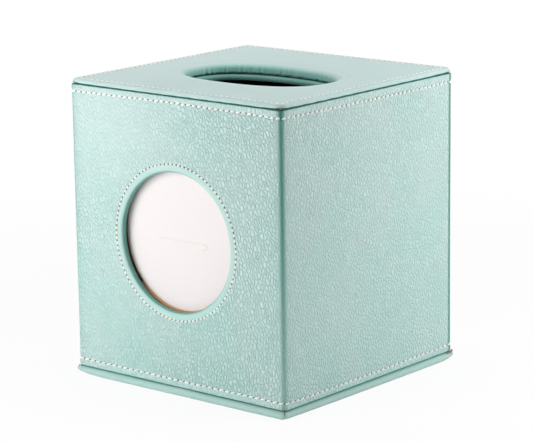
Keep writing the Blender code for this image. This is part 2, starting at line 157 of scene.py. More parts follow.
def uvGrid(along, across):
    return np.stack(np.broadcast_arrays(along, across), -1)


def makePiece(name, patches, material, caps=(), sharpAngle=50, attributes=None):
    # A piece from grids of points (..., rows, columns, 3) with their uv (..., rows, columns, 2), in metres.
    # Points in the same place become one, faces that lose a corner become triangles, and a closed piece
    # whose volume comes out negative is turned inside out. caps are single faces given as rings of points.
    points = [grid.reshape(-1, 3) for grid, uv in patches] + [np.asarray(ring, float) for ring in caps]
    flatUv = [uv.reshape(-1, 2) for grid, uv in patches] + [np.asarray(ring, float)[:, :2] for ring in caps]
    faces = []
    start = 0
    for grid, uv in patches:
        faces.append(gridFaces(grid.shape[:-1], start))
        start += int(np.prod(grid.shape[:-1]))
    faces = np.concatenate(faces)
    capCorners = []
    for ring in caps:
        capCorners.append(start + np.arange(len(ring)))
        start += len(ring)
    points = np.concatenate(points)
    flatUv = np.concatenate(flatUv)
    _, first, member = np.unique(np.round(points * 1e7).astype(np.int64), axis=0, return_index=True,
                                     return_inverse=True)
    member = member.reshape(-1)
    corners = member[faces]
    same = corners == np.roll(corners, -1, axis=1)
    lost = same.sum(1)
    quads = faces[lost == 0]
    triangles = faces[lost == 1][~same[lost == 1]].reshape(-1, 3)
    a, b, c, d = (points[faces[:, i]] - points.mean(0) for i in range(4))
    if np.sum(np.cross(a, b) * c) + np.sum(np.cross(a, c) * d) < 0:
        quads, triangles = quads[:, ::-1], triangles[:, ::-1]
        capCorners = [ring[::-1] for ring in capCorners]
    loops = np.concatenate([quads.reshape(-1), triangles.reshape(-1)] + capCorners)
    sizes = np.concatenate([np.full(len(quads), 4), np.full(len(triangles), 3)]
                           + [[len(ring)] for ring in capCorners]).astype(np.int64)
    mesh = bpy.data.meshes.new(name)
    mesh.vertices.add(len(first))
    mesh.vertices.foreach_set("co", points[first].reshape(-1))
    mesh.loops.add(len(loops))
    mesh.loops.foreach_set("vertex_index", member[loops].astype(np.int32))
    mesh.polygons.add(len(sizes))
    mesh.polygons.foreach_set("loop_start", np.concatenate([[0], np.cumsum(sizes)[:-1]]).astype(np.int32))
    mesh.polygons.foreach_set("loop_total", sizes.astype(np.int32))
    mesh.update(calc_edges=True)
    layer = mesh.uv_layers.new(name="surface")
    layer.data.foreach_set("uv", flatUv[loops].reshape(-1))
    for word, values in (attributes or {}).items():
        data = mesh.attributes.new(word, "FLOAT", "POINT")
        data.data.foreach_set("value", np.asarray(values, np.float32)[first])
    mesh.validate()
    mesh.shade_smooth()
    mesh.set_sharp_from_angle(angle=math.radians(sharpAngle))
    mesh.materials.append(material)
    piece = bpy.data.objects.new(name, mesh)
    bpy.context.scene.collection.objects.link(piece)
    return piece


def newGroup(name, inputs, outputs):
    # A shader node group with named number and vector sockets
    group = bpy.data.node_groups.new(name, "ShaderNodeTree")
    for word, kind, value in inputs:
        socket = group.interface.new_socket(name=word, in_out="INPUT", socket_type=kind)
        if value is not None:
            socket.default_value = value
    for word, kind in outputs:
        group.interface.new_socket(name=word, in_out="OUTPUT", socket_type=kind)
    group.nodes.new("NodeGroupInput").name = "in"
    group.nodes.new("NodeGroupOutput").name = "out"
    return group


def addNode(tree, kind, links=None, **settings):
    # One node, its settings and what feeds its inputs: a number, a vector, or another node's output socket
    node = tree.nodes.new(kind)
    for word, value in settings.items():
        setattr(node, word, value)
    for key, value in (links or {}).items():
        socket = node.inputs[key]
        if isinstance(value, bpy.types.NodeSocket):
            tree.links.new(value, socket)
        else:
            socket.default_value = value
    return node


def addMath(tree, operation, first, second=0.0, clamp=False):
    node = addNode(tree, "ShaderNodeMath", {0: first, 1: second}, operation=operation, use_clamp=clamp)
    return node.outputs[0]


def times(tree, first, second):
    return addMath(tree, "MULTIPLY", first, second)


def plus(tree, first, second):
    return addMath(tree, "ADD", first, second)


def minus(tree, first, second, clamp=False):
    return addMath(tree, "SUBTRACT", first, second, clamp)


def vectorMath(tree, operation, first, second):
    # SCALE takes a number as its second input, and the others take a vector
    key = "Scale" if operation == "SCALE" else 1
    return addNode(tree, "ShaderNodeVectorMath", {0: first, key: second}, operation=operation).outputs[0]


def addRange(tree, value, fromLow, fromHigh, toLow=0.0, toHigh=1.0, smooth=True):
    kind = "SMOOTHSTEP" if smooth else "LINEAR"
    node = addNode(tree, "ShaderNodeMapRange", {"Value": value, "From Min": fromLow, "From Max": fromHigh,
                                                "To Min": toLow, "To Max": toHigh}, interpolation_type=kind)
    return node.outputs["Result"]


def addMix(tree, share, first, second, kind="RGBA"):
    low, high, result = {"RGBA": (6, 7, 2), "FLOAT": (2, 3, 0)}[kind]
    return addNode(tree, "ShaderNodeMix", {0: share, low: first, high: second}, data_type=kind).outputs[result]


def addNoise(tree, vector, scale, detail=2.0, roughness=0.5):
    return addNode(tree, "ShaderNodeTexNoise", {"Vector": vector, "Scale": scale, "Detail": detail,
                                                "Roughness": roughness})


def rgba(colour):
    return (*colour, 1.0)


def newMaterial(name, colour, roughness, metallic=0.0, specular=0.5):
    material = bpy.data.materials.new(name)
    material.use_nodes = True
    material.diffuse_color = rgba(colour)
    shader = material.node_tree.nodes["Principled BSDF"]
    shader.inputs["Base Color"].default_value = rgba(colour)
    shader.inputs["Roughness"].default_value = roughness
    shader.inputs["Metallic"].default_value = metallic
    shader.inputs["Specular IOR Level"].default_value = specular
    return material, material.node_tree, shader


def surfaceUv(tree):
    return addNode(tree, "ShaderNodeUVMap", uv_map="surface").outputs["UV"]


def objectPlace(tree):
    return addNode(tree, "ShaderNodeTexCoord").outputs["Object"]


def pointValue(tree, name):
    # A value that the points of a piece carry
    return addNode(tree, "ShaderNodeAttribute", attribute_name=name).outputs["Fac"]


def setBump(tree, shader, height, distance, strength=1.0):
    bump = addNode(tree, "ShaderNodeBump", {"Height": height, "Distance": distance, "Strength": strength})
    tree.links.new(bump.outputs["Normal"], shader.inputs["Normal"])


def makeHideGrain():
    # Pebbled hide: rounded pebbles on a slant, parted by creases that break off in places, with wrinkles and a
    # fine tooth. Vector is in metres along the surface. Smooth flattens it.
    group = newGroup("hideGrain", [
        ("Vector", "NodeSocketVector", None), ("Cells per Metre", "NodeSocketFloat", 400.0),
        ("Crease Width", "NodeSocketFloat", 0.2), ("Wrinkles", "NodeSocketFloat", 0.3),
        ("Wander", "NodeSocketFloat", 0.3), ("Smooth", "NodeSocketFloat", 0.0)],
        [("Height", "NodeSocketFloat"), ("Crease", "NodeSocketFloat"), ("Tooth", "NodeSocketFloat")])
    source = group.nodes["in"].outputs
    scaled = vectorMath(group, "SCALE", source["Vector"], source["Cells per Metre"])
    slanted = addNode(group, "ShaderNodeVectorRotate", {"Vector": scaled, "Angle": -0.25},
                      rotation_type="Z_AXIS").outputs[0]
    stretched = vectorMath(group, "MULTIPLY", slanted, (1.20, 0.76, 1.0))
    drift = addNoise(group, stretched, 0.9, 2.0).outputs["Color"]
    centred = vectorMath(group, "SUBTRACT", drift, (0.5, 0.5, 0.5))
    wander = vectorMath(group, "SCALE", centred, source["Wander"])
    warped = vectorMath(group, "ADD", stretched, wander)
    edge = addNode(group, "ShaderNodeTexVoronoi", {"Vector": warped, "Scale": 1.0, "Randomness": 1.0},
                   voronoi_dimensions="2D", feature="DISTANCE_TO_EDGE").outputs["Distance"]
    lowered = minus(group, 1.0, addRange(group, edge, 0.0, 0.34, smooth=False), clamp=True)
    dome = minus(group, 1.0, addMath(group, "POWER", lowered, 1.8))
    crease = minus(group, 1.0, addRange(group, edge, 0.0, source["Crease Width"]), clamp=True)
    broken = addNoise(group, stretched, 1.3, 2.0).outputs["Fac"]
    crease = times(group, crease, addRange(group, broken, 0.05, 0.35))
    streaked = vectorMath(group, "MULTIPLY", stretched, (1.4, 0.9, 1.0))
    wrinkle = addNoise(group, streaked, 1.6, 3.0, 0.6).outputs["Fac"]
    tooth = addNoise(group, stretched, 7.0, 2.0, 0.6).outputs["Fac"]
    swell = addNoise(group, stretched, 0.6, 1.0).outputs["Fac"]
    shaped = times(group, dome, plus(group, 0.9, times(group, swell, 0.2)))
    carved = minus(group, shaped, times(group, crease, 0.06))
    wrinkled = plus(group, carved, times(group, wrinkle, times(group, source["Wrinkles"], 4.0)))
    rough = minus(group, 1.0, source["Smooth"], clamp=True)
    height = plus(group, times(group, wrinkled, rough), times(group, tooth, 0.05))
    target = group.nodes["out"].inputs
    group.links.new(height, target["Height"])
    shown = minus(group, 1.0, addMath(group, "POWER", source["Smooth"], 2.0), clamp=True)
    group.links.new(times(group, crease, shown), target["Crease"])
    group.links.new(tooth, target["Tooth"])
    return group


def makeMottle():
    # Slow cloudy change over a surface, and sparse small flecks. Vector is in metres.
    group = newGroup("mottle", [("Vector", "NodeSocketVector", None), ("Cloud Size", "NodeSocketFloat", 0.03),
                                ("Fleck Size", "NodeSocketFloat", 0.002)],
                     [("Clouds", "NodeSocketFloat"), ("Flecks", "NodeSocketFloat")])
    source = group.nodes["in"].outputs
    clouds = addNoise(group, source["Vector"], addMath(group, "DIVIDE", 1.0, source["Cloud Size"]), 3.0, 0.55)
    flecks = addNoise(group, source["Vector"], addMath(group, "DIVIDE", 1.0, source["Fleck Size"]), 2.0, 0.6)
    target = group.nodes["out"].inputs
    group.links.new(addRange(group, clouds.outputs["Fac"], 0.3, 0.7), target["Clouds"])
    group.links.new(addRange(group, flecks.outputs["Fac"], 0.62, 0.75), target["Flecks"])
    return group


def makeFibres():
    # Pressed fibres: noise drawn out one way, with short dark strands. Vector is in metres.
    group = newGroup("fibres", [("Vector", "NodeSocketVector", None), ("Fibre Size", "NodeSocketFloat", 0.0006),
                                ("Stretch", "NodeSocketVector", (1.0, 1.0, 6.0))],
                     [("Height", "NodeSocketFloat"), ("Strands", "NodeSocketFloat")])
    source = group.nodes["in"].outputs
    drawn = vectorMath(group, "MULTIPLY", source["Vector"], source["Stretch"])
    scale = addMath(group, "DIVIDE", 1.0, source["Fibre Size"])
    pulp = addNoise(group, drawn, scale, 4.0, 0.65).outputs["Fac"]
    strands = addNoise(group, drawn, times(group, scale, 0.35), 2.0, 0.7).outputs["Fac"]
    target = group.nodes["out"].inputs
    group.links.new(pulp, target["Height"])
    group.links.new(addRange(group, strands, 0.52, 0.7), target["Strands"])
    return group


def makeTwill():
    # Woven cloth on the two directions that a flat sheet spans: threads over and under. Vector is in metres.
    group = newGroup("twill", [("Vector", "NodeSocketVector", None),
                               ("Thread Pitch", "NodeSocketFloat", 0.0005)],
                     [("Height", "NodeSocketFloat"), ("Gap", "NodeSocketFloat")])
    source = group.nodes["in"].outputs
    scaled = addNode(group, "ShaderNodeVectorMath", {0: source["Vector"], "Scale": addMath(
        group, "DIVIDE", math.pi, source["Thread Pitch"])}, operation="SCALE").outputs[0]
    parts = addNode(group, "ShaderNodeSeparateXYZ", {0: scaled}).outputs
    warp = addMath(group, "ABSOLUTE", addMath(group, "SINE", plus(group, parts[0], parts[2])))
    weft = addMath(group, "ABSOLUTE", addMath(group, "SINE",
                                              plus(group, parts[1], times(group, parts[2], 0.5))))
    ridge = addMath(group, "SINE", plus(group, parts[0], plus(group, parts[1], parts[2])))
    lift = times(group, plus(group, ridge, 1.0), 0.5)
    height = addMix(group, lift, warp, weft, "FLOAT")
    gap = minus(group, 1.0, addRange(group, height, 0.0, 0.45), clamp=True)
    target = group.nodes["out"].inputs
    group.links.new(height, target["Height"])
    group.links.new(gap, target["Gap"])
    return group


effects = {"hideGrain": makeHideGrain(), "mottle": makeMottle(), "fibres": makeFibres(), "twill": makeTwill()}
print("shared effects ready:", ", ".join(effects))


def placeEffect(tree, name, links):
    return addNode(tree, "ShaderNodeGroup", links, node_tree=effects[name]).outputs


hide = {
    "colour": (0.490, 0.726, 0.684),
    "creaseColour": (0.245, 0.470, 0.425),
    "paleColour": (0.606, 0.742, 0.724),
    # colours of painted shade: partial, then full
    "shadeColour": (0.078, 0.300, 0.245),
    "darkShadeColour": (0.006, 0.072, 0.050),
    "roughness": 0.44,
    "sheen": 0.10,
}
# The top's leather is coloured greyer than the walls': painted sheen of the grazing view.
topHide = {
    "colour": (0.472, 0.628, 0.604),
    # its painted shade, used down the slot's roll, is lighter and greener than the walls'
    "shadeColour": (0.230, 0.570, 0.510),
    "creaseColour": (0.360, 0.515, 0.490),
    "paleColour": (0.530, 0.680, 0.658),
    "sheen": 0.10,
}
baseHide = {
    "colour": (0.390, 0.590, 0.545),
    "creaseColour": (0.270, 0.460, 0.415),
    "paleColour": (0.440, 0.640, 0.600),
    "sheen": 0.05,
}
# The thin ring inside the slot is coloured darker and greener than the walls: painted shade.
thinHide = {
    "colour": (0.300, 0.600, 0.545),
    "creaseColour": (0.190, 0.450, 0.400),
    "paleColour": (0.420, 0.680, 0.640),
}


def makeHide(name, colours, cell, creaseWidth, wrinkles, depth, roughness, creaseShare=0.55, specular=0.35):
    # Dyed leather whose grain runs with the surface. A point attribute of wear and painted light makes handled,
    # turned and lit places paler; a point attribute of painted shade makes folds, gaps, corners and recesses
    # darker and greener; and pressed or drawn places have a "smooth" one.
    material, tree, shader = newMaterial(name, colours["colour"], roughness, specular=specular)
    place = surfaceUv(tree)
    smooth = pointValue(tree, "smooth")
    grain = placeEffect(tree, "hideGrain", {"Vector": place, "Cells per Metre": 1 / cell,
                                            "Crease Width": creaseWidth,
                                            "Wrinkles": wrinkles, "Smooth": smooth})
    cloud = placeEffect(tree, "mottle", {"Vector": place, "Cloud Size": 0.028, "Fleck Size": 0.0016})
    wearAndPaintedLight = pointValue(tree, "wearAndPaintedLight")
    body = addMix(tree, times(tree, cloud["Clouds"], 0.55), rgba(colours["colour"]),
                  rgba(colours["paleColour"]))
    # Creases are coloured darker: partly the grain's own colour, partly painted shade in their valleys
    creased = addMix(tree, times(tree, grain["Crease"], creaseShare), body, rgba(colours["creaseColour"]))
    flecked = addMix(tree, times(tree, cloud["Flecks"], 0.10), creased, rgba(colours["creaseColour"]))
    # Paler for wear and for painted light
    wornAndLit = addMix(tree, times(tree, wearAndPaintedLight, 0.35), flecked, rgba(colours["paleColour"]))
    # Painted shade: towards the shade colour up to 0.5, then on to the dark shade colour
    paintedShade = pointValue(tree, "paintedShade")
    halfShaded = addMix(tree, addRange(tree, paintedShade, 0.0, 0.5, smooth=False), wornAndLit,
                  rgba(colours.get("shadeColour", hide["shadeColour"])))
    dark = addMix(tree, addRange(tree, paintedShade, 0.5, 1.0, smooth=False), halfShaded, rgba(hide["darkShadeColour"]))
    tree.links.new(dark, shader.inputs["Base Color"])
    rough = plus(tree, times(tree, grain["Crease"], 0.12), roughness - 0.05)
    rough = plus(tree, rough, times(tree, grain["Tooth"], 0.10))
    rough = minus(tree, rough, times(tree, wearAndPaintedLight, 0.06))
    tree.links.new(rough, shader.inputs["Roughness"])
    setBump(tree, shader, grain["Height"], depth)
    shader.inputs["Sheen Weight"].default_value = colours.get("sheen", 0.0)
    shader.inputs["Sheen Roughness"].default_value = 0.5
    return material


def makeThread():
    # Waxed twisted thread: the uv runs along each stitch and round it, in metres
    material, tree, shader = newMaterial("creamThread", (0.88, 0.86, 0.80), 0.5)
    place = surfaceUv(tree)
    parts = addNode(tree, "ShaderNodeSeparateXYZ", {0: place}).outputs
    slope = plus(tree, times(tree, parts[0], 1500.0), times(tree, parts[1], 2500.0))
    strand = addMath(tree, "ABSOLUTE", addMath(tree, "SINE", times(tree, slope, math.pi)))
    soil = addNoise(tree, objectPlace(tree), 90.0, 3.0).outputs["Fac"]
    lit = addMix(tree, addRange(tree, strand, 0.0, 0.5), rgba((0.79, 0.77, 0.69)), rgba((0.97, 0.96, 0.915)))
    dusty = addMix(tree, addRange(tree, soil, 0.45, 0.75, 0.0, 0.35), lit, rgba((0.80, 0.78, 0.70)))
    tree.links.new(dusty, shader.inputs["Base Color"])
    tree.links.new(addRange(tree, soil, 0.3, 0.7, 0.48, 0.66), shader.inputs["Roughness"])
    setBump(tree, shader, strand, 0.00004)
    return material


def makeNeedleHole():
    # Near black with a brown tint: painted shade inside the holes
    material, tree, shader = newMaterial("needleHole", (0.070, 0.062, 0.040), 0.9, specular=0.2)
    cloud = placeEffect(tree, "mottle", {"Vector": objectPlace(tree), "Cloud Size": 0.004,
                                         "Fleck Size": 0.0003})
    tint = addMix(tree, cloud["Clouds"], rgba((0.042, 0.040, 0.028)), rgba((0.105, 0.090, 0.060)))
    tree.links.new(addMix(tree, cloud["Flecks"], tint, rgba((0.15, 0.13, 0.08))), shader.inputs["Base Color"])
    tree.links.new(addRange(tree, cloud["Clouds"], 0.0, 1.0, 0.8, 0.95), shader.inputs["Roughness"])
    setBump(tree, shader, cloud["Flecks"], 0.00005)
    return material


def makeBoard(name, colour, dark, fibre, stretch, roughness=0.88, depth=0.00008):
    # Pressed board or card: pulp with longer strands, near black where a point attribute of painted shade is 1
    material, tree, shader = newMaterial(name, colour, roughness, specular=0.25)
    place = objectPlace(tree)
    pulp = placeEffect(tree, "fibres", {"Vector": place, "Fibre Size": fibre, "Stretch": stretch})
    cloud = placeEffect(tree, "mottle", {"Vector": place, "Cloud Size": 0.02, "Fleck Size": 0.0008})
    base = addMix(tree, addRange(tree, pulp["Height"], 0.35, 0.7), rgba(dark), rgba(colour))
    streaked = addMix(tree, times(tree, pulp["Strands"], 0.4), base, rgba(dark))
    flecked = addMix(tree, times(tree, cloud["Flecks"], 0.4), streaked, rgba(dark))
    edgeShade = pointValue(tree, "paintedEdgeShade")
    final = addMix(tree, edgeShade, flecked, rgba([part * 0.12 for part in dark]))
    tree.links.new(final, shader.inputs["Base Color"])
    tree.links.new(addRange(tree, cloud["Clouds"], 0.0, 1.0, roughness - 0.05, roughness + 0.05),
                   shader.inputs["Roughness"])
    setBump(tree, shader, pulp["Height"], depth)
    return material


def makeLiningCloth():
    material, tree, shader = newMaterial("darkLining", (0.020, 0.034, 0.031), 0.85, specular=0.2)
    place = objectPlace(tree)
    weave = placeEffect(tree, "twill", {"Vector": place, "Thread Pitch": 0.0006})
    cloud = placeEffect(tree, "mottle", {"Vector": place, "Cloud Size": 0.02, "Fleck Size": 0.0009})
    cloth = addMix(tree, weave["Gap"], rgba((0.026, 0.043, 0.039)), rgba((0.006, 0.010, 0.009)))
    dusty = addMix(tree, times(tree, cloud["Clouds"], 0.3), cloth, rgba((0.034, 0.050, 0.047)))
    linted = addMix(tree, times(tree, cloud["Flecks"], 0.15), dusty, rgba((0.12, 0.14, 0.13)))
    tree.links.new(linted, shader.inputs["Base Color"])
    tree.links.new(addRange(tree, weave["Height"], 0.0, 1.0, 0.92, 0.78), shader.inputs["Roughness"])
    setBump(tree, shader, weave["Height"], 0.00012)
    return material


def makeMagnetPlate():
    material, tree, shader = newMaterial("platedMagnet", (0.60, 0.60, 0.58), 0.3, metallic=1.0)
    place = objectPlace(tree)
    cloud = placeEffect(tree, "mottle", {"Vector": place, "Cloud Size": 0.004, "Fleck Size": 0.0004})
    scuff = placeEffect(tree, "fibres", {"Vector": place, "Fibre Size": 0.0003, "Stretch": (0.08, 1.0, 1.0)})
    tint = addMix(tree, cloud["Clouds"], rgba((0.56, 0.56, 0.55)), rgba((0.66, 0.65, 0.62)))
    tree.links.new(addMix(tree, cloud["Flecks"], tint, rgba((0.36, 0.33, 0.28))), shader.inputs["Base Color"])
    tree.links.new(addRange(tree, scuff["Height"], 0.3, 0.7, 0.22, 0.46), shader.inputs["Roughness"])
    setBump(tree, shader, scuff["Height"], 0.00002)
    return material


palette = {
    "hide": makeHide("mintHide", hide, 2.0 * mm, 0.14, 0.01, 0.00051, hide["roughness"], creaseShare=0.10,
                     specular=0.22),
    "topHide": makeHide("mintTopHide", topHide, 1.1 * mm, 0.16, 0.2, 0.00003, 0.50, creaseShare=0.15),
    "baseHide": makeHide("mintBaseHide", baseHide, 1.5 * mm, 0.16, 0.2, 0.00007, 0.50, creaseShare=0.3),
    "thinHide": makeHide("mintThinHide", thinHide, 1.1 * mm, 0.16, 0.2, 0.00003, 0.52, creaseShare=0.2),
    "thread": makeThread(),
    "hole": makeNeedleHole(),
    "greyBoard": makeBoard("greyBoard", (0.40, 0.36, 0.30), (0.27, 0.24, 0.20), 0.0005, (1.0, 1.0, 4.0)),
    "kraft": makeBoard("kraftEdge", (0.86, 0.45, 0.23), (0.55, 0.24, 0.10), 0.0004, (1.0, 3.0, 1.0)),
    "card": makeBoard("whiteCard", (0.815, 0.765, 0.762), (0.795, 0.745, 0.74), 0.0005, (1.0, 1.0, 1.0), 0.62,
                      0.000003),
    "raw": makeBoard("rawLeatherEdge", (0.52, 0.42, 0.24), (0.20, 0.13, 0.06), 0.0003, (1.0, 1.0, 3.0)),
    "lining": makeLiningCloth(),
    "magnet": makeMagnetPlate(),
}
print("materials ready:", len(palette))


seam = {
    "slant": math.radians(9),     # each stitch turned on its row, anticlockwise from outside
    "width": 0.90 * mm,
    "thick": 0.40 * mm,
    "gap": 0.82 * mm,             # between the ends of two stitches
    "lift": 0.04 * mm,            # middle of a stitch over the flat leather
    "sink": 0.42 * mm,            # how far its ends dip
    "grooveDepth": 0.22 * mm,
    "grooveWidth": 0.60 * mm,
    "pull": 0.14 * mm,            # how much deeper the leather is at a hole
    "puff": 0.20 * mm,            # swell of the leather between the row and its edge
    "holeSize": (1.22 * mm, 0.52 * mm),
    "bigHoleSize": (1.36 * mm, 0.80 * mm),   # round the window and on the top
}


def rowRelief(across, room, along=None, pitch=1.0):
    # Height of the leather beside a row of stitches, with across measured towards the edge, room away:
    # a groove, deeper at the holes, and a swell between the groove and the edge
    low = -seam["grooveDepth"] * bell(across, seam["grooveWidth"])
    if along is not None:
        near = (0.5 + 0.5 * np.cos(math.tau * along / pitch)) ** 2
        low = low - seam["pull"] * bell(across, 0.8 * mm) * near
    swell = smoothStep(across, 0.4 * mm, 1.1 * mm) * (1 - smoothStep(across, room - 0.9 * mm, room))
    beyond = bell(across + 1.5 * mm, 0.9 * mm) * 0.25
    return low + seam["puff"] * (swell + beyond)


def smoothLine(points, count):
    # A smooth line through points: between two of them the cubic (2a + (c - p)t + (2p - 5a + 4b - c)t² +
    # (3a - 3b + c - p)t³) / 2 with a and b the two, p the one before and c the one after
    points = np.asarray(points, float)
    padded = np.concatenate([2 * points[:1] - points[1:2], points, 2 * points[-1:] - points[-2:-1]])
    where = np.linspace(0, len(points) - 1, count)
    index = np.minimum(where.astype(int), len(points) - 2)
    t = (where - index)[:, None]
    p, a, b, c = (padded[index + i] for i in range(4))
    return 0.5 * (2 * a + (b - p) * t + (2 * p - 5 * a + 4 * b - c) * t ** 2 + (3 * a - 3 * b + c - p) * t ** 3)


def unit(vectors):
    return vectors / np.linalg.norm(vectors, axis=-1, keepdims=True)


def makeStitches(name, places, surfaceAt, body, seed=1):
    # One row of stitches between neighbouring places along a row. surfaceAt gives points of the flat leather
    # and the directions out of it. A stitch follows the surface, turned by its slant: it rises in the middle
    # and dips at its ends, and its section is a flat hexagon that narrows to a point.
    chance = np.random.RandomState(seed)
    count = len(places) - 1
    middle = (places[:-1] + places[1:])[:, None] / 2
    reach = (np.diff(places)[:, None] - seam["gap"]) / 2 * (1 + chance.normal(0, 0.03, (count, 1)))
    angle = seam["slant"] + chance.normal(0, 0.035, (count, 1))
    steps = np.array([-1.0, -0.86, -0.5, 0.0, 0.5, 0.86, 1.0])
    fullness = np.array([0.0, 0.86, 1.0, 0.96, 1.0, 0.86, 0.0])
    spots = middle + reach * np.cos(angle) * steps
    point, out = surfaceAt(spots)
    tangent = unit(surfaceAt(spots + 0.05 * mm)[0] - point)
    aside = np.cross(out, tangent)
    shift = reach * np.sin(angle) * steps + chance.normal(0, 0.03 * mm, (count, 1))
    lift = seam["lift"] + chance.normal(0, 0.025 * mm, (count, 1))
    rise = lift - seam["sink"] * np.abs(steps) ** 3.5
    spine = point + aside * shift[..., None] + out * rise[..., None]
    across = np.cross(out, tangent * np.cos(angle)[..., None] + aside * np.sin(angle)[..., None])
    turn = math.tau * np.arange(7) / 6
    wide = np.cos(turn)[None, None, :, None] * fullness[None, :, None, None] * seam["width"] / 2
    high = np.sin(turn)[None, None, :, None] * fullness[None, :, None, None] * seam["thick"] / 2
    points = spine[:, :, None] + across[:, :, None] * wide + out[:, :, None] * high
    points[:, :, -1] = points[:, :, 0]
    uv = np.zeros(points.shape[:3] + (2,))
    uv[..., 0] = (reach * steps)[:, :, None] + np.arange(count)[:, None, None] * 0.004
    uv[..., 1] = (turn * 0.3 * mm)[None, None]
    piece = makePiece(name, [(points, uv)], palette["thread"], sharpAngle=80)
    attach(piece, body)


def makeHoles(name, places, surfaceAt, body, size):
    # Needle holes: flat eight-sided lenses in the dimples of the leather, drawn out along the row, coloured
    # near black as painted shade inside the holes
    point, out = surfaceAt(places)
    tangent = unit(surfaceAt(places + 0.05 * mm)[0] - point)
    aside = np.cross(out, tangent)
    angle = seam["slant"] + math.radians(8)
    axis = tangent * math.cos(angle) + aside * math.sin(angle)
    across = np.cross(out, axis)
    floor = point - out * (seam["grooveDepth"] + seam["pull"])
    turn = math.tau * np.arange(9) / 8
    rings = []
    for share, height in ((0, -0.30), (0.8, -0.24), (1, 0.08), (0.6, 0.13), (0, 0.14)):
        ring = floor[:, None] + out[:, None] * height * mm
        ring = ring + axis[:, None] * (np.cos(turn) * share * size[0] / 2)[None, :, None]
        ring = ring + across[:, None] * (np.sin(turn) * share * size[1] / 2)[None, :, None]
        rings.append(ring)
    points = np.stack(rings, 1)
    points[:, :, -1] = points[:, :, 0]
    piece = makePiece(name, [(points, points[..., :2])], palette["hole"], sharpAngle=80)
    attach(piece, body)


def outlineRow(half, corner, level, facingUp=False, row=None):
    # Surface under a row that runs round the box at one level, by its distance along the outline
    def surfaceAt(places):
        height = level + (wanderAt(row, places, sideLength(half, corner)) if row else np.zeros(places.shape))
        columns = columnsAt(places, half, corner)
        flat = outlineAt(columns, half, corner, np.zeros(places.shape))
        rest = np.zeros(places.shape)[..., None]
        out = np.concatenate([columns[1] * (0.0 if facingUp else 1.0), rest + (1.0 if facingUp else 0.0)], -1)
        return np.concatenate([flat, height[..., None]], -1), out
    return surfaceAt


def ringRow(radius, depth, height):
    # Surface under a ring of stitches on a front wall, by the distance round it
    def surfaceAt(places):
        angle = places / radius
        point = np.stack([radius * np.cos(angle), np.full(places.shape, depth), height
                          + radius * np.sin(angle)], -1)
        return point, np.broadcast_to([0.0, -1.0, 0.0], point.shape)
    return surfaceAt


def backRow(depth, height):
    # Surface under a straight row on the back, by the distance towards -x
    def surfaceAt(places):
        point = np.stack([-places, np.full(places.shape, depth), np.full(places.shape, height)], -1)
        return point, np.broadcast_to([0.0, 1.0, 0.0], point.shape)
    return surfaceAt


# How far the rows of the walls stand off their level: (share of the way round in sides, millimetres)
rowWander = {
    "top": [(0, -0.1), (0.15, 0.05), (0.35, 0.32), (0.5, 0.47), (0.65, 0.28), (0.85, -0.03), (1, -0.3),
            (1.15, -0.5), (1.35, -0.72),
            (1.5, -0.84), (1.65, -0.92), (1.85, -1.0), (2, -0.95), (2.4, -0.3), (3, 0.0), (3.5, 0.15),
            (4, -0.1)],
    "foot": [(0, 0.2), (0.15, 0.1), (0.35, -0.04), (0.5, -0.24), (0.65, -0.12), (0.85, -0.02), (1, -0.08),
             (1.15, -0.36), (1.35, -0.44),
             (1.5, -0.5), (1.65, -0.3), (1.85, -0.2), (2, 0.2), (2.2, 0.1), (3, 0.0), (3.5, -0.15), (4, 0.2)],
}


def stepsAt(table, along, side):
    # Straight lines between the places of a table, along the outline
    shares, values = np.array(table).T
    return np.interp(np.mod(along / side, 4), shares, values) * mm


def wanderAt(row, along, side):
    return stepsAt(rowWander[row], along, side)


wall = {
    # where the hinge strip covers the foot: its start from the corner's end, and where the cover fades and ends
    "hingeRoom": (3.0 * mm, 118 * mm, 119 * mm),
    "foot": 4.12 * mm,
    "overHinge": 5.3 * mm,         # its foot over the hinge strip
    "footDrop": 0.17 * mm,         # how much lower the foot is at +x
    "hemTop": 5.0 * mm,
    "hemReach": 4.6 * mm,
    "top": 142.6 * mm,
    "edge": 0.45 * mm,             # rounding of the upper edge
    "footEdge": 0.28 * mm,         # and of the lower one
    "notchHalf": 59.5 * mm,
    "seamPlace": -61.0 * mm,       # where its two ends meet on the back wall
    "seamGap": 0.30 * mm,
    "topRow": 139.2 * mm,
    "topRowPerSide": 39,
    "footRow": 7.4 * mm,
    "footRowPerSide": 36,
    "ringRadius": 37.2 * mm,
    "ringCount": 95,
    "paneLow": 10.0 * mm,          # the part of the front that is laid out round the window
    "paneHigh": 136.5 * mm,
    # levels of its rows of points below and above the pane, in millimetres, closest beside the stitches
    "lowLevels": [6.0, 6.4, 6.8, 7.1, 7.4, 7.7, 8.0, 8.4, 8.9, 9.4, 10.0],
    "highLevels": [136.5, 137.0, 137.5, 137.9, 138.3, 138.6, 138.9, 139.2, 139.5, 139.8, 140.2, 140.6, 141.0,
                   141.4, 141.8, 142.15],
    # the rim that is turned into the window: radius and depth, in millimetres
    "rim": [(35.7, -0.12), (35.2, -0.13), (34.7, -0.04), (34.2, 0.17), (33.75, 0.52), (33.45, 0.95),
            (33.3, 1.4),
            (33.28, 1.9), (33.38, 2.4), (33.6, 2.9), (33.88, 3.3), (34.15, 3.55), (34.45, 3.68), (34.9, 3.7),
            (35.25, 3.6), (35.33, 2.6), (35.36, 1.5)],
    "crinkle": 0.06,               # how uneven the turned rim is, in millimetres
    "paneCircle": 41 * mm,         # the outermost circle round the window, and those inside it
    "circles": (40.4, 35.9, -0.34),
    "unevenness": 0.05 * mm,
}


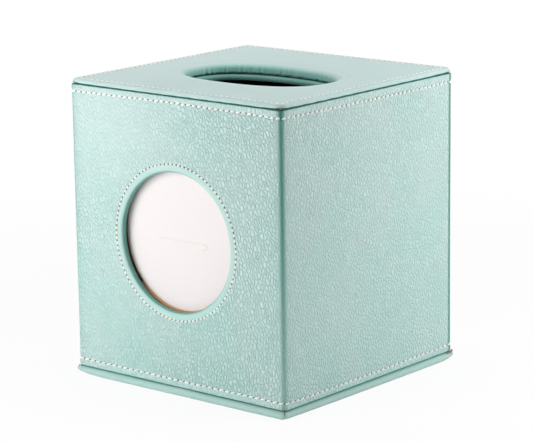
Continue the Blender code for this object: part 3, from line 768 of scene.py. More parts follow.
def wallRelief(along, level):
    # Height of the wall leather over its flat: the two rows of stitches and a slow unevenness
    side = sideLength(box["half"], box["corner"])
    total = 4 * side
    topRow = wall["topRow"] + wanderAt("top", along, side)
    footRow = wall["footRow"] + wanderAt("foot", along, side)
    height = rowRelief(level - topRow, wall["top"] - topRow, along, side / wall["topRowPerSide"])
    atFoot = rowRelief(footRow - level, footRow - wall["foot"], along, side / wall["footRowPerSide"])
    place = np.mod(along, total)
    begins, fades, ends = wall["hingeRoom"]
    start = 2 * side + box["corner"] * math.pi / 4 + begins
    behindHinge = (smoothStep(place, start, start + 1 * mm)
                   * (1 - smoothStep(place, start + fades, start + ends)))
    height = height + atFoot * (1 - behindHinge)
    slow = np.sin(along / (23 * mm) + 1.3) * np.sin(level / (31 * mm) + 0.4)
    slow = slow + 0.6 * np.sin(along / (11 * mm) + level / (17 * mm))
    return (height + wall["unevenness"] * slow * smoothStep(level, 5 * mm, 12 * mm)
            * (1 - smoothStep(level, 135 * mm, 141 * mm)))


def ringRelief(radius, angle):
    # Height of the leather round the window: the groove of the ring of stitches, deeper at its holes, and a
    # swell on both sides of it
    off = radius - wall["ringRadius"]
    near = (0.5 + 0.5 * np.cos(angle * wall["ringCount"])) ** 2
    groove = -seam["grooveDepth"] * bell(off, seam["grooveWidth"]) - seam["pull"] * bell(off, 0.8 * mm) * near
    inner = smoothStep(-off, 0.4 * mm, 0.9 * mm) * (1 - smoothStep(-off, 1.1 * mm, 1.5 * mm))
    return groove + seam["puff"] * 0.8 * inner + seam["puff"] * 0.3 * bell(off - 1.6 * mm, 1.0 * mm)


def makeWallLeather():
    # A profile (inset, level) carried round the outline from one end of the strip to the other. On the front
    # a pane is laid out between the outline of a rectangle and circles round the window instead.
    half, corner, skin = box["half"], box["corner"], box["skin"]
    side = sideLength(half, corner)
    arcHalf = corner * math.pi / 4
    total = 4 * side
    places = columnPlaces(half, corner, 4 * wall["topRowPerSide"], 4)
    seamAt = 2 * side + arcHalf + (half - corner) - wall["seamPlace"]
    notch = []
    for x in (wall["notchHalf"], -wall["notchHalf"]):
        at = 2 * side + arcHalf + (half - corner) - x
        away = -0.1 * mm if x > 0 else 0.1 * mm
        notch += [at, at + away]
    shifted = np.mod(np.concatenate([places, notch]) - seamAt, total)
    shifted = np.sort(shifted[(shifted > 0.6 * mm) & (shifted < total - 0.6 * mm)])
    along = seamAt + np.concatenate([[wall["seamGap"] / 2], shifted, [total - wall["seamGap"] / 2]])
    columns = columnsAt(along, half, corner)
    place = np.mod(along, total)
    x = outlineAt(columns, half, corner, np.zeros(len(along)))[:, 0]
    onBack = (place > 2 * side + arcHalf) & (place < 3 * side - arcHalf)
    overHinge = onBack & (np.abs(x) < wall["notchHalf"] + 0.05 * mm)
    foot = wall["foot"] - wall["footDrop"] * smoothStep(columns[1][:, 0], 0.3, 0.95)
    foot = np.where(overHinge, wall["overHinge"], foot)

    edge, footEdge = wall["edge"], wall["footEdge"]
    joinLevel = wall["lowLevels"][0] * mm
    quarter = np.radians([90, 60, 30, 0])
    insetRows = []
    levelRows = []
    for angle in quarter:                                        # outer foot edge, from below
        insetRows.append(np.full(len(along), footEdge * (1 - math.cos(angle))))
        levelRows.append(foot + footEdge * (1 - math.sin(angle)))
    rising = np.array([0.25, 0.5, 0.75])
    for share in rising:
        insetRows.append(np.zeros(len(along)))
        levelRows.append(foot + footEdge + share * (joinLevel - foot - footEdge))
    fixed = wall["lowLevels"]
    middle = np.linspace(wall["paneLow"] / mm, wall["paneHigh"] / mm, 27)[1:-1]
    for level in np.concatenate([fixed, middle, wall["highLevels"]]):
        insetRows.append(np.zeros(len(along)))
        levelRows.append(np.full(len(along), level * mm))
    outerCount = len(insetRows)
    for angle in quarter[::-1][1:]:                              # outer top edge
        insetRows.append(np.full(len(along), edge * (1 - math.cos(angle))))
        levelRows.append(np.full(len(along), wall["top"] - edge * (1 - math.sin(angle))))
    inset = np.array(insetRows)
    level = np.array(levelRows)
    relief = wallRelief(along[None], level)
    inset = inset - np.where(inset < 0.9 * edge, relief, relief * 0.3)
    lowRow = 4 + 3 + len(fixed) - 1
    highRow = lowRow + len(middle) + 1

    # the inside, back to the hem
    innerLevels = np.concatenate([[wall["top"]], level[highRow:outerCount - 2:7, 0][::-1],
                                  level[lowRow:highRow, 0][::-1]])
    innerInset = np.full((len(innerLevels), len(along)), skin)
    innerLevel = np.repeat(innerLevels[:, None], len(along), 1)
    hemTop = np.where(overHinge, foot + 0.5 * mm, wall["hemTop"])
    reach = np.where(overHinge, skin, wall["hemReach"])
    hemInset = np.array([np.full(len(along), skin), (skin + reach) / 2, reach, reach, (skin + reach) / 2,
                         np.full(len(along), skin)])
    hemLevel = np.array([hemTop, hemTop, hemTop, foot, foot, foot])
    allInset = np.concatenate([inset, innerInset, hemInset, inset[:1]])
    allLevel = np.concatenate([level, innerLevel, hemLevel, level[:1]])

    flat = outlineAt(columns, half, corner, allInset)
    points = np.concatenate([flat, allLevel[..., None]], -1)
    climb = runOf(np.abs(np.diff(allInset[:, 5])) + np.abs(np.diff(allLevel[:, 5])))
    upTo = level[:, 5]
    rise = np.concatenate([upTo, upTo[-1] + climb[len(upTo):] - climb[len(upTo) - 1]])
    uv = uvGrid(along[None], rise[:, None])

    # the front pane between the first and last column of the front
    frontStart = total + arcHalf
    frontEnd = total + side - arcHalf
    first = int(np.argmin(np.abs(along - frontStart)))
    last = int(np.argmin(np.abs(along - frontEnd)))
    patches = []
    innerStart = outerCount + 3 + 1 + len(level[highRow:outerCount - 2:7, 0]) - 1
    innerEnd = innerStart + (highRow - lowRow)
    for low, high in ((lowRow, highRow), (innerStart, innerEnd)):
        for left, right in ((0, first), (last, len(along) - 1)):
            patches.append((points[low:high + 1, left:right + 1], uv[low:high + 1, left:right + 1]))
    for low, high in ((0, lowRow), (highRow, innerStart), (innerEnd, len(points) - 1)):
        patches.append((points[low:high + 1], uv[low:high + 1]))

    def paneRing(low, high):
        # Points and uv round the pane's outline, anticlockwise from its lower left corner
        block, blockUv = points[low:high + 1, first:last + 1], uv[low:high + 1, first:last + 1]
        if block[0, 0, 2] > block[-1, 0, 2]:
            block, blockUv = block[::-1], blockUv[::-1]
        return [np.concatenate([each[0], each[1:, -1], each[-1, -2::-1], each[-2::-1, 0]])
                for each in (block, blockUv)]

    centre = np.array([0.0, box["windowHeight"]])
    rings, ringUvs = [], []
    outer, outerUv = paneRing(lowRow, highRow)
    count = len(outer)
    angle = math.radians(-135) + math.tau * np.arange(count) / (count - 1)
    direction = np.stack([np.cos(angle), np.sin(angle)], -1)
    alongMiddle = total + side / 2                                # uv of the window's centre

    def frontPoint(flatPlace, depth):
        return np.stack([flatPlace[:, 0], -half + depth, flatPlace[:, 1]], -1)

    def flatUv(flatPlace):
        return np.stack([alongMiddle + flatPlace[:, 0], flatPlace[:, 1]], -1)

    edgePlace = outer[:, [0, 2]]
    rings.append(outer)
    ringUvs.append(outerUv)
    for share in np.linspace(0, 1, 19)[1:]:
        circle = centre + direction * wall["paneCircle"]
        spot = edgePlace * (1 - share) + circle * share
        radius = np.linalg.norm(spot - centre, axis=1)
        depth = -wallRelief(alongMiddle + spot[:, 0], spot[:, 1]) - ringRelief(radius, angle)
        rings.append(frontPoint(spot, depth))
        ringUvs.append(flatUv(spot))
    for radius in np.arange(*wall["circles"]) * mm:
        spot = centre + direction * radius
        depth = -wallRelief(alongMiddle + spot[:, 0], spot[:, 1]) - ringRelief(np.full(count, radius), angle)
        rings.append(frontPoint(spot, depth))
        ringUvs.append(flatUv(spot))
    turns = angle / math.tau
    crinkle = (0.7 * ripple(turns, 9, 40, 5) + 0.5 * ripple(turns, 40, 90, 7)) * wall["crinkle"] * mm
    rim = smoothLine(wall["rim"], 26) * mm
    travelled = runOf(np.linalg.norm(np.diff(rim, axis=0), axis=1))
    for (radius, depth), gone in zip(rim, travelled):
        weight = smoothStep(depth, 0.3 * mm, 1.5 * mm) * (1 - smoothStep(radius, 34.6 * mm, 35.2 * mm))
        spot = centre + direction * (radius + crinkle * weight)[:, None]
        rings.append(frontPoint(spot, depth + crinkle * weight * 0.5))
        ringUvs.append(flatUv(centre + direction * (rim[0, 0] - gone)))
    rimRadius = rim[-1, 0]
    inner, innerUv = paneRing(innerStart, innerEnd)
    innerPlace = inner[:, [0, 2]]
    for share in np.linspace(0, 1, 9)[:-1]:
        spot = (centre + direction * (rimRadius + 0.05 * mm)) * (1 - share) + innerPlace * share
        rings.append(frontPoint(spot, np.full(count, skin)))
        ringUvs.append(flatUv(spot))
    rings.append(inner)
    ringUvs.append(innerUv)
    pane = np.array(rings)
    pane[:, -1] = pane[:, 0]
    patches.append((pane, np.array(ringUvs)))

    caps = [points[:-1, 0], points[:-1, -1][::-1]]
    everything = np.concatenate([each[0].reshape(-1, 3) for each in patches] + list(caps))
    x, y, z = everything.T
    offCorner = np.abs(np.abs(x) - np.abs(y)) / math.sqrt(2)
    fromWindow = np.hypot(x, z - box["windowHeight"])
    onFront = y < -half + 4 * mm
    outer = np.maximum(np.abs(x), np.abs(y)) > 60 * mm
    upwards = smoothStep(z, 10 * mm, 135 * mm)
    # Paler colour, painted light: up the walls, over the upper left of the front and in a band just before the
    # back right corner; and a lighter ring at the window's lip
    wearAndPaintedLight = (0.9 * upwards * outer * (z < 142.8 * mm)
            + np.where(onFront, 0.2 * bell(fromWindow - 35.3 * mm, 0.9 * mm), 0))
    wearAndPaintedLight = (wearAndPaintedLight + 0.7 * smoothStep(z, 95 * mm, 130 * mm) * onFront * (1 - smoothStep(x, -50 * mm, 20 * mm))
            * (z < 142.8 * mm))
    wearAndPaintedLight = wearAndPaintedLight + 1.2 * bell(offCorner - 3.9 * mm, 0.9 * mm) * (x > 64 * mm) * (y > 55 * mm)
    # Painted shade along the wall's top edge and its foot, where the gaps to the top and to the base are
    edges = (smoothStep(z, wall["top"] - 0.50 * mm, wall["top"] - 0.16 * mm) + 1
             - smoothStep(z, 4.05 * mm, 4.25 * mm))
    higher = smoothStep(z, 5 * mm, 115 * mm)
    # Painted shade down the rounded corners, stronger higher up and near the top, and a dark strip on the back
    # right corner where it turns away
    turned = (((0.21 + 0.17 * higher) * bell(offCorner, 1.1 * mm)
               + (0.08 + 0.05 * higher) * bell(offCorner, 2.7 * mm)) * outer)
    turned = turned * (1 + 0.4 * smoothStep(z, 136 * mm, 142 * mm))
    turned = np.where((x > 60 * mm) & (y > 60 * mm), 0.52 * (1 - smoothStep(offCorner, 1.9 * mm, 2.7 * mm)),
                      turned)
    # Painted shade on the rim turned into the window, and a little on the leather just round it
    inWindow = 0.34 * smoothStep(y + half, 0.1 * mm, 0.8 * mm) + 0.14 * smoothStep(y + half, 1.5 * mm, 3.6 * mm)
    inWindow = (np.where(onFront & (fromWindow < 35.6 * mm), inWindow, 0)
                + np.where(onFront, 0.09 * (1 - smoothStep(fromWindow, 36.8 * mm, 37.8 * mm)), 0))
    paintedShade = np.clip(0.70 * edges + turned + inWindow, 0, 1)
    band = np.maximum(smoothStep(z, 138.4 * mm, 139.6 * mm), 1 - smoothStep(z, 7.0 * mm, 8.2 * mm)) * 0.35
    smooth = np.maximum(band, np.where(onFront, 1 - smoothStep(fromWindow, 37.0 * mm, 38.2 * mm), 0) * 0.9)
    smooth = np.maximum(smooth, bell(offCorner, 1.6 * mm) * 0.8 * (np.maximum(np.abs(x), np.abs(y)) > 60 * mm))
    easier = (0.20 * (1 - smoothStep(x, -45 * mm, 10 * mm))
              + 0.20 * smoothStep(z, 80 * mm, 125 * mm) * (1 - smoothStep(x, -20 * mm, 40 * mm)))
    easier = np.where(onFront, easier, 0) + np.where(x > 64 * mm, 0.22, 0)
    smooth = np.clip(np.maximum(smooth, easier), 0, 1)
    piece = makePiece("wallLeather", patches, palette["hide"], caps=caps,
                      attributes={"wearAndPaintedLight": np.clip(wearAndPaintedLight, 0, 2), "paintedShade": paintedShade, "smooth": smooth})
    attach(piece, "cover")
    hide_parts("side_leather")
    return piece


wallLeather = makeWallLeather()
print("wall leather:", len(wallLeather.data.polygons), "faces")

# Top leather: folded down over the panel's edge outside, rolled down into the slot inside.
topPanel = {
    "corner": 4.2 * mm,             # rounder than the walls below it
    "foldEnd": 142.93 * mm,
    "foldLift": 0.40 * mm,          # how much higher the fold ends at the corners
    "slotDip": 0.45 * mm,           # how far the panel sinks towards the slot
    "foldEdge": 0.27 * mm,
    "edge": 1.0 * mm,
    "rowInset": 3.2 * mm,
    "rowPerSide": 38,
    "columnsPerStitch": 4,
    "rollCentre": 141.0 * mm,
    "rollOuter": 4.0 * mm,
    "rollInner": 2.8 * mm,
    "rollEnd": 139.9 * mm,
    "wrinkle": 0.17 * mm,
    "ragged": 0.18 * mm,
    "notches": 33,
    "notchDepth": 0.22 * mm,
}


def makeTopLeather():
    # Rows go from the fold's lower edge up and inwards to the slot, down round its roll and back underneath.
    # Each row is a loop (inset, level) of the box's outline, of the slot's outline, or a mix of the two.
    half, corner = box["half"], topPanel["corner"]
    places = columnPlaces(half, corner, topPanel["columnsPerStitch"] * topPanel["rowPerSide"], 6)
    count = len(places)
    columns = columnsAt(places, half, corner)
    rowLine = outlineAt(columns, half, corner, np.full(count, topPanel["rowInset"]))
    steps = np.linalg.norm(np.diff(rowLine, axis=0, append=rowLine[:1]), axis=1)
    along = runOf(steps)[:-1]
    pitch = steps.sum() / (4 * topPanel["rowPerSide"])
    turn = np.arange(count) / count
    height, edge, dip = box["height"], topPanel["edge"], topPanel["slotDip"]
    rows, uvs, paintedShades = [], [], []

    def addRow(flat, level, flatUv, paintedShade=0.0):
        row = np.column_stack([flat, np.broadcast_to(level, count)])
        rows.append(np.concatenate([row, row[:1]]))
        uvs.append(np.concatenate([flatUv, flatUv[:1]]))
        paintedShades.append(np.append(np.broadcast_to(paintedShade, count), np.ravel(paintedShade)[0]))

    def coverRow(inset, level, down, paintedShade=0.0, inner=False):
        flat = outlineAt(columns, half, box["corner"] if inner else corner, np.broadcast_to(inset, count))
        uvInset = np.full(count, -down if down > 0 else np.mean(inset))
        addRow(flat, level, outlineAt(columns, half, corner, uvInset), paintedShade)

    def slotRow(inset, level, reach, paintedShade=0.0):
        flat = slotAt(count, 0)[:-1]
        inward = slotAt(count, 1 * mm)[:-1] - flat
        addRow(flat + inward * (np.broadcast_to(inset, count)[:, None] / mm), level, flat
               + inward * reach / mm, paintedShade)

    fold = topPanel["foldEdge"]
    side = sideLength(half, corner)
    fromCorner = np.abs((places + side / 2) % side - side / 2)
    end = (topPanel["foldEnd"] + topPanel["foldLift"]
           * (0.7 * bell(fromCorner, 3.5 * mm) + 0.5 * bell(fromCorner, 13 * mm))
           + ripple(turn, 10, 60, 21) * 0.05 * mm)
    # The fold's underside and the lower part of its rounding carry painted shade, darkest underneath
    coverRow(box["skin"], topPanel["foldEnd"], 2.6 * mm, 1.0, True)
    coverRow(0.7 * mm, end, 2.5 * mm, 1.0)
    for angle in np.radians([90, 60, 30, 0]):
        coverRow(fold * (1 - math.cos(angle)), end + fold * (1 - math.sin(angle)), 2.2 * mm
                 - fold * math.cos(angle),
                 0.78 if angle > 0.9 else 0.50 if angle > 0.3 else 0.10)
    coverRow(-0.04 * mm, (end + height) / 2, 1.4 * mm)
    for angle in np.radians([0, 18, 36, 54, 72, 90]):
        coverRow(edge * (1 - math.cos(angle)), height - edge * (1 - math.sin(angle)), 0.001 * mm
                 + (edge * (1 - angle * 2 / math.pi)))
    for inset in np.array([1.35, 1.7, 2.05, 2.4, 2.7, 3.0, 3.2, 3.4, 3.7, 4.0, 4.4, 4.9, 5.6]) * mm:
        relief = rowRelief(topPanel["rowInset"] - inset, topPanel["rowInset"] - edge, along, pitch)
        coverRow(inset, height + relief, 0)
    flatEdge = outlineAt(columns, half, corner, np.full(count, 5.6 * mm))
    slotEdge = slotAt(count, 0)[:-1]
    span = np.linalg.norm(flatEdge - slotEdge, axis=1)
    for share in 1 - (1 - np.linspace(0, 1, 19)[1:-1]) ** 1.35:
        mixed = flatEdge * (1 - share) + slotEdge * share
        slow = np.sin(mixed[:, 0] / (19 * mm) + 0.7) * np.sin(mixed[:, 1] / (15 * mm)) * 0.05 * mm
        sunk = dip * (1 - smoothStep(span * (1 - share), 0, 6 * mm))
        addRow(mixed, height + slow * 4 * share * (1 - share) - sunk, mixed)

    outer, inner, centre = topPanel["rollOuter"], topPanel["rollInner"], topPanel["rollCentre"]
    strength = 0.55 + 0.45 * ripple(turn, 3, 11, 8)
    crinkle = ((0.7 * ripple(turn, 45, 110, 3) + 0.5 * ripple(turn, 110, 170, 4)) * topPanel["wrinkle"]
               * strength)
    ragged = ripple(turn, 25, 90, 6) * topPanel["ragged"]
    ticks = 0.6 * ripple(turn, 45, 110, 3) + 0.6 * ripple(turn, 110, 170, 4)
    chance = np.random.RandomState(12)
    notchTurns = ((np.arange(topPanel["notches"]) + chance.uniform(-0.25, 0.25, topPanel["notches"]))
                  / topPanel["notches"])
    gap = np.abs((turn[:, None] - notchTurns[None] + 0.5) % 1 - 0.5) * box["slotRound"]
    notch = bell(gap.min(1), 0.55 * mm) * topPanel["notchDepth"]
    # Down the roll into the slot: painted shade that grows as it turns, lighter on its crinkles as painted
    # highlights; below the lip and underneath it is full shade
    for angle in np.radians([0, 10, 20, 30, 40, 50, 60, 70, 80, 90]):
        weight = smoothStep(angle, 0.5, 1.6)
        slotRow(outer * math.sin(angle) + crinkle * weight, centre
                + (outer - dip) * max(math.cos(angle), 0) ** 0.7, outer * angle,
                np.clip(weight * (0.40 - 0.14 * ticks), 0, 0.62))
    reach = outer * math.pi / 2
    lip = topPanel["rollEnd"] + ragged + notch
    slotRow(outer + crinkle * 1.1, centre - 0.35 * mm, reach + 0.4 * mm, 0.5)
    slotRow(outer + crinkle * 1.2 - notch * 0.3, (centre + lip) / 2, reach + 0.8 * mm, 0.62)
    slotRow(outer + crinkle * 1.2 - 0.05 * mm - notch * 0.5, lip + 0.12 * mm, reach + 1.1 * mm, 0.9)
    slotRow(outer + crinkle * 1.1 - 0.35 * mm - notch * 0.6, lip, reach + 1.3 * mm, 1.0)
    slotRow(inner + 0.2 * mm, lip + 0.08 * mm, reach + 2.0 * mm, 1.0)
    slotRow(inner, centre - 0.2 * mm, reach + 2.6 * mm, 1.0)
    for angle in np.radians([90, 60, 30, 0]):
        slotRow(inner * math.sin(angle), centre + (inner - dip) * math.cos(angle), reach + 6 * mm
                - inner * angle, 1.0)
    under = outlineAt(columns, half, box["corner"], np.full(count, box["skin"]))
    for share in (0.12, 0.3, 0.65, 1.0):
        addRow(slotEdge * (1 - share) + under * share, height - box["skin"] - (dip if share < 0.2 else 0) * 0.5,
               slotEdge * (1 - share) + under * share, 1.0)
    rows.append(rows[0])
    uvs.append(uvs[0])
    paintedShades.append(paintedShades[0])
    grid = np.array(rows)

    # Paler where the fold turns, for wear, and over the left part of the top as painted light
    outside = np.maximum(np.abs(grid[..., 0]), np.abs(grid[..., 1]))
    wearAndPaintedLight = (0.7 * smoothStep(outside, half - 0.9 * mm, half - 0.1 * mm)
            * smoothStep(grid[..., 2], 143.6 * mm, 144.4 * mm))
    wearAndPaintedLight = wearAndPaintedLight + 1.4 * smoothStep(-grid[..., 0], 0, 60 * mm) * (grid[..., 2] > 144 * mm)
    # Extra painted shade on the left part of the slot's far roll
    farLeft = smoothStep(grid[..., 1], 4 * mm, 14 * mm) * (1 - smoothStep(grid[..., 0], -12 * mm, 12 * mm))
    rolled = (smoothStep(-np.gradient(grid[..., 2], axis=0), 0.02 * mm, 0.3 * mm) * (outside < 46 * mm)
              * (grid[..., 2] < 144.4 * mm))
    paintedShade = np.clip(np.array(paintedShades) + 0.12 * farLeft * rolled, 0, 1)
    piece = makePiece("topLeather", [(grid, np.array(uvs))], palette["topHide"],
                      attributes={"wearAndPaintedLight": wearAndPaintedLight.reshape(-1), "paintedShade": paintedShade.reshape(-1)})
    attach(piece, "cover")
    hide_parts("top_leather")


shadeStrip = {
    # inset and level of its section's corners, in millimetres
    "section": [(1.24, 141.6), (1.24, 142.6), (1.24, 143.4), (1.30, 143.72), (1.42, 143.72), (1.46, 143.4),
                (1.46, 141.6), (1.30, 141.5), (1.24, 141.6)],
}


def makeFoldShadeStrip():
    # A thin strip coloured near black as painted shade, behind the gap between the walls and the top, between
    # the skins and the boards
    half, corner = box["half"], box["corner"]
    columns = columnsAt(columnPlaces(half, corner, 40, 4), half, corner)
    rows = []
    for inset, level in shadeStrip["section"]:
        flat = outlineAt(columns, half, corner, np.full(len(columns[0]), inset * mm))
        rows.append(np.column_stack([flat, np.full(len(flat), level * mm)]))
    grid = np.array(rows)
    grid = np.concatenate([grid, grid[:, :1]], 1)
    distance = np.linspace(0, 4 * sideLength(half, corner), grid.shape[1])
    uv = uvGrid(distance[None], grid[..., 2])
    piece = makePiece("foldShadeStrip", [(grid, uv)], palette["topHide"],
                      attributes={"paintedShade": np.full(grid.shape[0] * grid.shape[1], 0.95)})
    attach(piece, "cover")


# Thin leather ring round the ceiling board, seen in the slot below the roll.
slotRing = {
    "flange": -4.5 * mm,
    "start": 4.0 * mm,
    "middle": 137.8 * mm,
    "nose": 1.5 * mm,
    "skin": 0.6 * mm,
    "wrinkle": 0.10 * mm,
    "columns": 360,
}


def makeSlotRing():
    # A flat-sided loop with a half-round nose (inset, level) carried round the slot's outline
    count = slotRing["columns"]
    turn = np.arange(count + 1) / count
    start, middle, nose, skin = slotRing["start"], slotRing["middle"], slotRing["nose"], slotRing["skin"]
    flange = slotRing["flange"]
    crinkle = (0.6 * ripple(turn, 60, 110, 31) + 0.5 * ripple(turn, 20, 45, 32)) * slotRing["wrinkle"]
    profile = [(flange, middle + nose, 0), (0.0, middle + nose, 0)]
    profile += [(start + nose * math.cos(a), middle + nose * math.sin(a), math.cos(a))
                for a in np.radians(np.arange(90, -91, -15))]
    profile += [(0.0, middle - nose, 0), (flange, middle - nose, 0), (flange, middle - nose + skin, 0)]
    inner = nose - skin
    profile += [(start + inner * math.cos(a), middle + inner * math.sin(a), 0)
                for a in np.radians(np.arange(-90, 91, 30))]
    profile += [(flange, middle + inner, 0), (flange, middle + nose, 0)]
    flat = slotAt(count, 0)
    inward = (slotAt(count, 1 * mm) - flat) / mm
    insets = np.array([inset + crinkle * share for inset, level, share in profile])
    levels = np.array([level + crinkle * 0.5 * share for inset, level, share in profile])
    grid = np.concatenate([flat[None] + inward[None] * insets[..., None], levels[..., None]], -1)
    grid[:, -1] = grid[:, 0]
    run = runOf(np.abs(np.diff(insets[:, 0])) + np.abs(np.diff(levels[:, 0])))
    uv = uvGrid((turn * box["slotRound"])[None], run[:, None])
    # Paler on its nose: painted highlight
    wearAndPaintedLight = np.broadcast_to(np.array([share * 0.3 for inset, level, share in profile])[:, None], insets.shape)
    # Painted shade: a little all over, and darker behind its nose inside the slot
    paintedShade = 0.26 + 0.5 * (1 - smoothStep(insets, 2.6 * mm, 4.4 * mm))
    piece = makePiece("slotRing", [(grid, uv)], palette["thinHide"],
                      attributes={"wearAndPaintedLight": wearAndPaintedLight.reshape(-1), "paintedShade": paintedShade.reshape(-1)})
    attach(piece, "cover")
    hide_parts("slot_trim")


# Base leather: wrapped round the base board, its corners mitred.
base = {
    "tip": (1.4 * mm, 6 * mm),      # how far its lower edge lifts at two corners, and over what length
    "rightRise": (0.35, 26 * mm),   # the same along the right side, in millimetres, and over what length
    "frontRise": (0.25, 14 * mm),   # and along the front
    "half": 66.3 * mm,
    "corner": 3.0 * mm,
    "top": 3.9 * mm,
    "round": 1.9 * mm,
    "lowRound": 1.1 * mm,
    "skin": 0.9 * mm,
    "turnIn": 14.0 * mm,
    "mitreDepth": 0.32 * mm,
    "mitreWidth": 0.42 * mm,
    "wobble": 0.10 * mm,
    # how far its rim sinks outside the walls: (share of the way round in sides, millimetres)
    "droop": [(0, 0.34), (0.07, 0.35), (0.21, 0.42), (0.36, 0.50), (0.64, 0.54), (0.79, 0.54), (0.93, 0.52),
              (1, 0.58), (1.07, 0.75),
              (1.21, 0.9), (1.36, 0.95), (1.5, 0.92), (1.64, 0.88), (1.79, 0.74), (1.93, 0.5), (2, 0.4),
              (2.5, 0.34), (4, 0.34)],
    "lump": (2 * mm, 8 * mm, 0.40 * mm),     # place, half width and height of a swell in its front edge
    "perSide": 84,
}


def mitreFold(x, y, level):
    # Depth of the folds in the base's corners: a narrow groove on each diagonal, from half way up the edge
    offDiagonal = np.abs(np.abs(x) - np.abs(y)) / math.sqrt(2)
    return base["mitreDepth"] * bell(offDiagonal, base["mitreWidth"]) * smoothStep(level, 0.9 * mm, 2.0 * mm)


def makeBaseLeather():
    # A tray's profile (inset, level) carried round the outline: underside edge, round side, turned-in top,
    # and the same back inside. Its two ends are capped by the bottom and by the floor of the tray.
    half, corner, bend, top, skin = base["half"], base["corner"], base["round"], base["top"], base["skin"]
    places = columnPlaces(half, corner, base["perSide"], 6)
    columns = columnsAt(places, half, corner)
    turn = places / (4 * sideLength(half, corner))
    wobble = (0.6 * ripple(turn, 6, 26, 41) + 0.5 * ripple(turn, 30, 80, 42)) * base["wobble"]
    low = base["lowRound"]
    profile = [(low - low * math.cos(a), low - low * math.sin(a), 1)
               for a in np.radians([90, 72, 54, 36, 18, 0])]
    profile += [(bend - bend * math.cos(a), top - bend + bend * math.sin(a), 1)
                for a in np.radians([0, 15, 30, 45, 60, 75, 90])]
    profile += [(each * mm, top, 0) for each in (2.6, 3.4, 4.4, 6.0, 8.5, 11.0, 13.5)]
    profile += [(13.85 * mm, top - 0.12 * mm, 0), (base["turnIn"], top - 0.4 * mm, 0),
                (base["turnIn"], top - skin, 0)]
    profile += [(each * mm, top - skin, 0) for each in (9.0, 4.0)]
    small = bend - skin
    profile += [(bend - small * math.cos(a), top - bend + small * math.sin(a), 0)
                for a in np.radians([90, 60, 30, 0])]
    profile += [(bend - small * math.cos(a), bend - small * math.sin(a), 0)
                for a in np.radians([0, 30, 60, 90])]
    insets = np.array([np.full(len(places), inset) for inset, level, share in profile])
    levels = np.array([np.full(len(places), level) for inset, level, share in profile])
    outside = np.array([share for inset, level, share in profile], float)[:, None]
    flat = outlineAt(columns, half, corner, insets)
    fold = mitreFold(flat[..., 0], flat[..., 1], levels)
    onSkin = (np.arange(len(profile)) < 22)[:, None]
    sideways = np.clip((bend - insets) / bend, 0, 1) * outside
    insets = insets - wobble[None] * sideways + fold * sideways * onSkin
    levels = levels - fold * (1 - sideways) * onSkin * (levels > top - 0.2 * mm)
    facing = columns[1]
    lumpAt, lumpWidth, lumpHeight = base["lump"]
    lump = lumpHeight * bell(flat[..., 0] - lumpAt, lumpWidth) * (facing[:, 1] < -0.9)
    droop = stepsAt(base["droop"], places, sideLength(half, corner)) - lump
    nearEdge = 1 - smoothStep(insets, 0.9 * mm, 2.2 * mm)
    levels = levels - droop * nearEdge * smoothStep(levels, 0.8 * mm, 2.6 * mm) * onSkin
    (tip, tipWidth), (rightRise, rightWidth), (frontRise,
                                               frontWidth) = base["tip"], base["rightRise"], base["frontRise"]
    nearCorner = (rightRise * bell(flat[..., 1] + half, rightWidth) * (facing[:, 0] > 0.5)
                  + frontRise * bell(flat[..., 0] + half, frontWidth) * (facing[:, 1] < -0.5))
    fromLeft = np.hypot(flat[..., 0] + half, flat[..., 1] + half)
    fromRight = np.hypot(flat[..., 0] - half, flat[..., 1] - half)
    raised = nearCorner * mm + 0.15 * lump
    tip = tip * (bell(fromLeft, tipWidth) + bell(fromRight, tipWidth))
    levels = levels + tip * nearEdge * (1 - smoothStep(levels, 0.8 * mm, 3.2 * mm)) * onSkin
    levels = levels + raised * nearEdge * (1 - smoothStep(levels, 0.5 * mm, 2.0 * mm)) * onSkin
    flat = outlineAt(columns, half, corner, insets)
    grid = np.concatenate([flat, levels[..., None]], -1)
    grid = np.concatenate([grid, grid[:, :1]], 1)
    run = runOf(np.hypot(np.diff([each[0] for each in profile]), np.diff([each[1] for each in profile])))
    distance = np.append(places, 4 * sideLength(half, corner))
    uv = uvGrid(distance[None], run[:, None])
    # Paler along the rounded top edge, and over the whole front side as painted light
    wearAndPaintedLight = 0.6 * bell(insets - 0.4 * mm, 0.6 * mm) * (levels > 1.5 * mm) * outside
    wearAndPaintedLight = wearAndPaintedLight + 0.9 * (flat[..., 1] < 3 * mm - half) * outside
    # Painted shade under the walls and in the mitre folds
    underWall = smoothStep(insets, 1.15 * mm, 1.7 * mm) * (levels > 3 * mm)
    inFold = (bell(np.abs(np.abs(flat[..., 0]) - np.abs(flat[..., 1])) / math.sqrt(2), 0.28 * mm)
              * smoothStep(levels, 1.2 * mm, 2.6 * mm))
    paintedShade = 0.62 * np.maximum(underWall, inFold * (insets < 5 * mm))
    wearAndPaintedLight, paintedShade = (np.concatenate([each, each[:, :1]], 1).reshape(-1) for each in (wearAndPaintedLight, paintedShade))
    caps = [grid[0, :-1][::-1], grid[-1, :-1]]
    rest = np.zeros(len(caps[0]) + len(caps[1]))
    piece = makePiece("baseLeather", [(grid, uv)], palette["baseHide"], caps=caps,
                      attributes={"wearAndPaintedLight": np.concatenate([wearAndPaintedLight, rest]), "paintedShade": np.concatenate([paintedShade, rest])})
    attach(piece, "base")
    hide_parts("base_leather")


